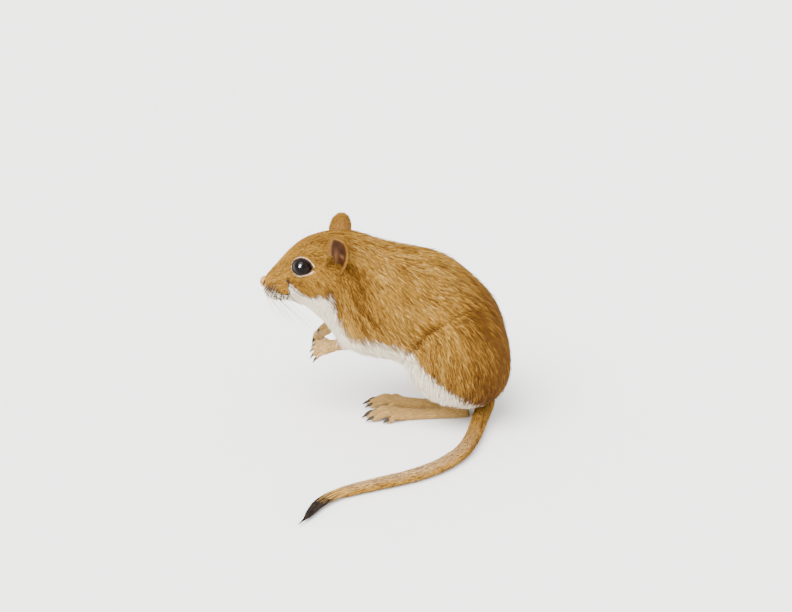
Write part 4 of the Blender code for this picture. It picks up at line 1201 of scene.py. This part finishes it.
def coat_pieces():
    """The coat of the whole body, in pieces that each stay under the limit of triangles."""
    points, normals, notes = grow_roots()
    zone, count = coat_zone[notes], len(points)
    depth, length, width, _ = coat_sizes[notes].T
    looks = tuft_looks(points, notes, length)
    room = np.minimum(ear_mouth(points) - BARE_AT_EAR, np.where(zone == FACE, eye_gap(points) - 0.2, 9))
    room = np.where(points[:, 1] < -45, np.minimum(room, nostril_gap(points) - 0.35), room)
    shorter = np.minimum(length, np.maximum(room, 0.3)) / length
    x, y, z = points.T
    swirl = 0.10 * np.sin(y * 0.55 + z * 0.31) * np.sin(z * 0.47 - x * 0.4)
    turn = (swirl + draw.normal(0, 0.10, count))[:, None]
    tangent = in_plane(coat_lie[notes], normals)
    ways = tangent * np.cos(turn) + np.cross(normals, tangent) * np.sin(turn)
    guard = (draw.random(count) < 0.03) & (zone != FEET)
    length = length * shorter * draw.uniform(0.75, 1.15, count) * (1 + 0.25 * guard)
    tip = depth * shorter**0.5 * draw.uniform(0.5, 1.0, count) * (1 + 0.5 * guard)
    looks["chance"][guard] *= 0.3
    heights = tip[:, None] * np.linspace(0, 1, 3) ** 0.5
    before_brush = points[:, 0] < tail_course(np.array([BRUSH_START]))[0, 0] + 1.0
    made = []
    for kind, word in enumerate(ZONE_WORDS):
        rows = np.flatnonzero((zone == kind) & (before_brush | (kind != TAIL)))
        rows = rows[np.argsort(points[rows, 1])]
        pieces = len(rows) // MOST_TUFTS_IN_PIECE + 1
        for number, chunk in enumerate(np.array_split(rows, pieces)):
            path = lay_along_skin(points[chunk], normals[chunk], ways[chunk], length[chunk], heights[chunk])
            attributes = {look: values[chunk] for look, values in looks.items()}
            name = f"coat_{word}" + (f"_{number + 1}" if pieces > 1 else "")
            places = coat_chart[notes[chunk]]
            made.append((word, tuft_mesh(name, path, normals[chunk], width[chunk], places, attributes)))
    return made


fur, foot_fur = coat_finish(), foot_coat_finish()
for word, piece in coat_pieces():
    if word == "feet":
        finished(piece, foot_fur)
    else:
        finished(piece, fur)


def brush():
    """The brush at the end of the tail: hairs that start round the tail, follow its course and pass its tip.

    Each hair's middle line = course + away * radius, where the radius swells and then closes to the tip.
    """
    count, steps = BRUSH_HAIRS, 5
    start = BRUSH_START - 0.02 + 0.17 * draw.random(count) ** 0.8
    end = np.minimum(start + draw.uniform(0.10, 0.15, count), 1.02 + 0.05 * draw.random(count))
    turn = (draw.uniform(-0.12, 1.12, count) * math.pi)[:, None, None]
    lift = draw.uniform(0.55, 1.0, count)
    share = start[:, None] + (end - start)[:, None] * np.linspace(0, 1, steps)
    course = tail_course(share.ravel()).reshape(count, steps, 3)
    ahead = unit(np.gradient(course, axis=1))
    level = unit(np.cross(ahead, (0, 0, 1)))
    away = level * np.cos(turn) + np.cross(level, ahead) * np.sin(turn)
    reach = np.clip((share - BRUSH_START) / (BRUSH_TIP - BRUSH_START), 0, 1)
    radius = np.interp(reach, (0, 0.3, 0.6, 0.85, 1), (1.30, 1.50, 1.45, 1.00, 0.10)) * lift[:, None]
    radius[:, 0] *= 0.7
    path = course + away * radius[..., None]
    chance = draw.random(count)
    under = ease(-np.sin(turn[:, 0, 0]), -0.6, 0.6)
    black = ease(start + 0.07 * draw.random(count) + 0.03 * under, 0.845, 0.90)
    places, looks = coat_chart[nearest_notes(course[:, 0])], {"chance": chance, "shade": black}
    return tuft_mesh("brush", path, away[:, 2], np.full(count, 0.24), places, looks)


finished(brush(), brush_finish(), ["tail_tuft"])


# Eyes, nose, ears, claws and whiskers


def eyeball(side):
    """A ball with a slightly bulging cornea: radius * (1 + bulge * nearness to the look direction ^ 6)."""
    polar, _, direction = ball(50, 72)
    facing = np.broadcast_to(np.clip(np.cos(polar), 0, 1), direction.shape[:2])
    radius = EYE_RADIUS * (1 + CORNEA_BULGE * facing**6)
    grid = mirrored(EYE_CENTRE, side) + direction @ np.array(eye_axes(side)) * radius[..., None]
    return closed_grid(f"eyeball_{SIDE_WORD[side]}", grid, attributes={"look": facing}, poles=(1, 0))


def nose_pad():
    """The nose: an ellipsoid with a middle groove, a comma-shaped pit and a small swelling at each side."""
    forward, x, z = np.moveaxis(ball(60, 80)[2], -1, 0)
    groove = mound(x, 0.10) * ease(0.35 - z, 0, 0.6)
    pits = [mound(np.abs(x) - across, size) * mound(z - up, size) for across, up, size in NOSE_PITS]
    pits = np.max(pits, 0) * (forward > 0)
    radius = 1.04 - 0.10 * groove - 0.34 * pits + 0.05 * mound(np.abs(x) - 0.45, 0.3) * mound(z - 0.3, 0.3)
    grid = NOSE_PAD_CENTRE + np.stack([x, -forward, z], -1) * NOSE_PAD_RADII * radius[..., None]
    return closed_grid("nose", grid, attributes={"pit": ease(pits, 0.25, 0.8)})


def ear_grid(side):
    """The ear's cup as rings round a crescent, with a rolled rim and folds inside it.

    At share h of its length the half width rises as a sine to its widest place and closes as an ellipse; the
    cup's depth falls towards the rim as 1 - across^2.
    """
    up, opens, across = ear_axes(side)
    share = np.sin(np.linspace(0.0, math.pi / 2, 64))
    below, above = share / EAR_WIDEST_AT, (share - EAR_WIDEST_AT) / (1.005 - EAR_WIDEST_AT)
    half_width = EAR_HALF_WIDTH * np.where(
        share < EAR_WIDEST_AT,
        0.62 + 0.38 * np.sin(below * math.pi / 2),
        np.sqrt(np.maximum(0.0, 1 - above**2)),
    )
    depth = natural_spline(EAR_CUP_DEPTH, share * (len(EAR_CUP_DEPTH) - 1))
    h, o = share[:, None], np.sin(np.linspace(-math.pi / 2, math.pi / 2, 34))[None]
    middle = mirrored(EAR_ROOT, side) + h[..., None] * EAR_LENGTH * up
    middle = middle - (EAR_LEAN_BACK * h * h)[..., None] * opens
    rim_place = 1 - np.minimum(1 - np.abs(o), (1 - h) * 1.6)
    thick = EAR_THICKNESS * (0.62 + 0.55 * ease(rim_place, 0.78, 0.93))
    thick = thick * (1 - 0.5 * ease(rim_place, 0.95, 1.0))
    bowl = depth[:, None] * (1 - o**2)
    fold = 0.45 * mound(o * side + 0.45, 0.14) * ease(0.62 - h, 0, 0.35)
    fold += 0.55 * mound(o - 0.1, 0.25) * mound(h - 0.34, 0.06)
    sideways = (o * half_width[:, None])[..., None] * across
    back = middle + sideways - (bowl + thick / 2)[..., None] * opens
    front = middle + sideways * 0.985 - (bowl - thick / 2 - fold)[..., None] * opens
    inside = {
        "cup": 1 - ease(rim_place, 0.70, 0.90), "rim": ease(rim_place, 0.80, 0.95) * 0.6,
        "fold": np.clip(fold / 0.45, 0, 1),
    }
    looks = {word: np.concatenate([0 * value, value[:, ::-1]], 1) for word, value in inside.items()}
    return np.concatenate([back, front[:, ::-1]], 1), looks


def ear(side):
    """The ear's skin, and the short hair on its back and rim."""
    grid, looks = ear_grid(side)
    shell = closed_grid(f"ear_cup_{SIDE_WORD[side]}", grid, attributes=looks)
    rings, around = grid.shape[:2]
    ring, spot = draw.integers(1, rings - 1, EAR_HAIRS), draw.integers(0, around, EAR_HAIRS)
    keep = looks["cup"][ring, spot] < 0.5
    ring, spot = ring[keep], spot[keep]
    count, root = len(ring), grid[ring, spot]
    normals = grid_normals(grid)[ring, spot]
    spread = draw.random((2, count, 1))
    beside, above = grid[ring, (spot + 1) % around], grid[ring + 1, spot]
    roots = root + (beside - root) * spread[0] + (above - root) * spread[1]
    ways = unit(ear_axes(side)[0] + normals * 0.25 + draw.normal(0, 0.15, roots.shape))
    length = draw.uniform(0.5, 1.0, count)[:, None, None]
    share = np.linspace(0, 1, 3)[:, None]
    path = roots[:, None] + ways[:, None] * length * share + normals[:, None] * (0.10 * share - 0.03)
    places = np.stack(leg_chart(side, spot / around, 0.49 + 0.06 * ring / rings), -1)
    looks = {
        "chance": draw.random(count), "pale": np.zeros(count), "shade": np.full(count, 0.3),
        "streak": draw.uniform(0.2, 0.8, count),
    }
    name = f"coat_ear_{SIDE_WORD[side]}"
    return shell, tuft_mesh(name, path, normals, np.full(count, 0.11), places, looks)


def whiskers(side):
    """Whiskers in four rows on the whisker pad and two above the eye, which bend back and down, and the short
    dark hairs that lie on the pad and along the edge of the jaw and cheek."""
    steps, sides = 14, 5
    share = np.linspace(0, 1, steps)
    taper = 1 - 0.93 * share
    pieces = []
    for turn, count, longest in WHISKER_ROWS:
        for row, long in zip(np.linspace(1.15, 2.45, count), np.linspace(0.55, 1.0, count) * longest):
            root = mirrored(trunk_grid(np.array([row]), np.array([turn]))[0, 0], side)
            out = mirrored((0.90, -0.10 + 0.28 * row, 0.75 - 0.62 * turn + 0.35), side)
            out = unit(out + draw.normal(0, 0.07, 3))
            long *= draw.uniform(0.85, 1.1)
            bend = np.outer(share**2, (0, 0.30 * long, -0.34 * long))
            path = root - out * 0.6 + np.outer(long * share, out) + bend
            pieces.append((path, 0.07 * taper, draw.random()))
    for ends, thick in zip(PAD_HAIRS, PAD_HAIR_THICKNESS):
        across = ends[:2] + (ends[2:] - ends[:2]) * share[:, None]
        hits = [skin_surface.ray_cast((30 * side, y, z), (-side, 0, 0))[:2] for y, z in across]
        path = np.array([place + normal * PAD_HAIR_LIFT for place, normal in hits])
        pieces.append((path, thick * taper**0.3, 0.0))
    for k in range(2):
        root = mirrored(EYE_CENTRE + (1.2, -1.4 + 1.3 * k, 4.1), side)
        out = unit(mirrored((0.7, 0.2 + 0.2 * k, 0.8), side))
        path = root + np.outer(6.0 * share, out) + np.outer(share**2, (0, 1.5, -1.5))
        pieces.append((path, 0.035 * taper, 0.0))
    grids = [tube(kept_above(path, 0.5), radii, sides) for path, radii, _ in pieces]
    along = np.append(np.repeat(share, sides), (0, 1))
    chance = np.repeat([chance for *_, chance in pieces], len(along))
    looks = {"chance": chance, "along": np.tile(along, len(pieces))}
    return joined_grids(f"whiskers_{SIDE_WORD[side]}", grids, looks)


ear_skin, gloss, horn, hair = ear_finish(), eye_finish(), claw_finish(), whisker_finish()
eyes = []
for side in SIDES:
    word = SIDE_WORD[side]
    eyes.append(finished(eyeball(side), gloss, [f"eye_{word}"]))
    shell, ear_hair = ear(side)
    finished(shell, ear_skin, [f"ear_{word}"])
    finished(ear_hair, fur)
    for limb in ("hind", "fore"):
        claws = [closed_grid(f"claws_{limb}_{word}", grid, 0.05) for grid in claw_grids[limb, side]]
        finished(join(claws), horn)
    finished(whiskers(side), hair)
finished(nose_pad(), nose_finish())


# Camera, light and floor


def camera():
    """Looks at the animal's left side from a little above: the picture's frame is 792 by 612 pixels."""
    distance, elevation, focal_pixels, wide = 380.0, math.radians(19), 1197.0, 792.0
    target = np.array([0.0, -7.6, 36.0])
    back = np.array([math.cos(elevation), 0, math.sin(elevation)])
    data = bpy.data.cameras.new("camera")
    data.sensor_width, data.lens = 36.0, 36.0 * focal_pixels / wide
    data.clip_start, data.clip_end = 0.01, 20.0
    made = linked("camera", data)
    made.location = put_in_frame(target + back * distance)
    made.rotation_euler = Vector(-back).to_track_quat("-Z", "Y").to_euler()
    bpy.context.scene.camera = made


def soft_light(kind, where, power, colour, only=(), **size):
    """A lamp that shines from `where` to the middle of the animal, on everything or on a few objects."""
    data = bpy.data.lights.new("soft_light", kind)
    data.energy, data.color = power, colour
    for word, value in size.items():
        setattr(data, word, value)
    made = linked("soft_light", data)
    made.location = where
    made.rotation_euler = (Vector((0, 0, 0.03)) - Vector(where)).to_track_quat("-Z", "Y").to_euler()
    if only:
        made.visible_diffuse = False
        lit = bpy.data.collections.new("lit")
        for item in only:
            lit.objects.link(item)
        made.light_linking.receiver_collection = lit


def studio(to_camera, to_scene):
    """A plain pale surrounding, brighter in what it gives to the scene than where the camera sees it."""
    world = bpy.data.worlds.new("studio")
    world.use_nodes = True
    nodes, links = world.node_tree.nodes, world.node_tree.links
    nodes["Background"].inputs["Color"].default_value = (0.97, 0.97, 0.97, 1)
    strength = nodes.new("ShaderNodeMath")
    strength.operation = "MULTIPLY_ADD"
    strength.inputs[1].default_value, strength.inputs[2].default_value = to_camera, to_scene
    links.new(nodes.new("ShaderNodeLightPath").outputs["Is Camera Ray"], strength.inputs[0])
    links.new(strength.outputs[0], nodes["Background"].inputs["Strength"])
    bpy.context.scene.world = world


def floor():
    """A plain pale floor, large enough to reach the horizon of every view."""
    corners = np.array([(-1, -1, 0), (1, -1, 0), (1, 1, 0), (-1, 1, 0)]) * 6.0
    mesh = bpy.data.meshes.new("floor")
    mesh.from_pydata(corners.tolist(), [], [(0, 1, 2, 3)])
    paper = Finish("floor_paper", 0.9, 0.1)
    pale = paper.mix(paper.noise(8, 2), (0.90, 0.895, 0.885), (0.92, 0.915, 0.905))
    mesh.materials.append(paper.colour(pale))
    made = linked("floor", mesh)


camera()
soft_light("SUN", (0.45, -0.30, 0.80), 7.6, (1.0, 0.985, 0.96), angle=math.radians(50))
soft_light("SUN", (0.95, -0.35, 0.30), 1.6, (1.0, 0.99, 0.97), angle=math.radians(60))
soft_light("AREA", (0.42, -0.26, 0.33), 130.0, (1.0, 1.0, 1.0), eyes, shape="ELLIPSE", size=0.26, size_y=0.42)
studio(1.45, 2.1)
floor()
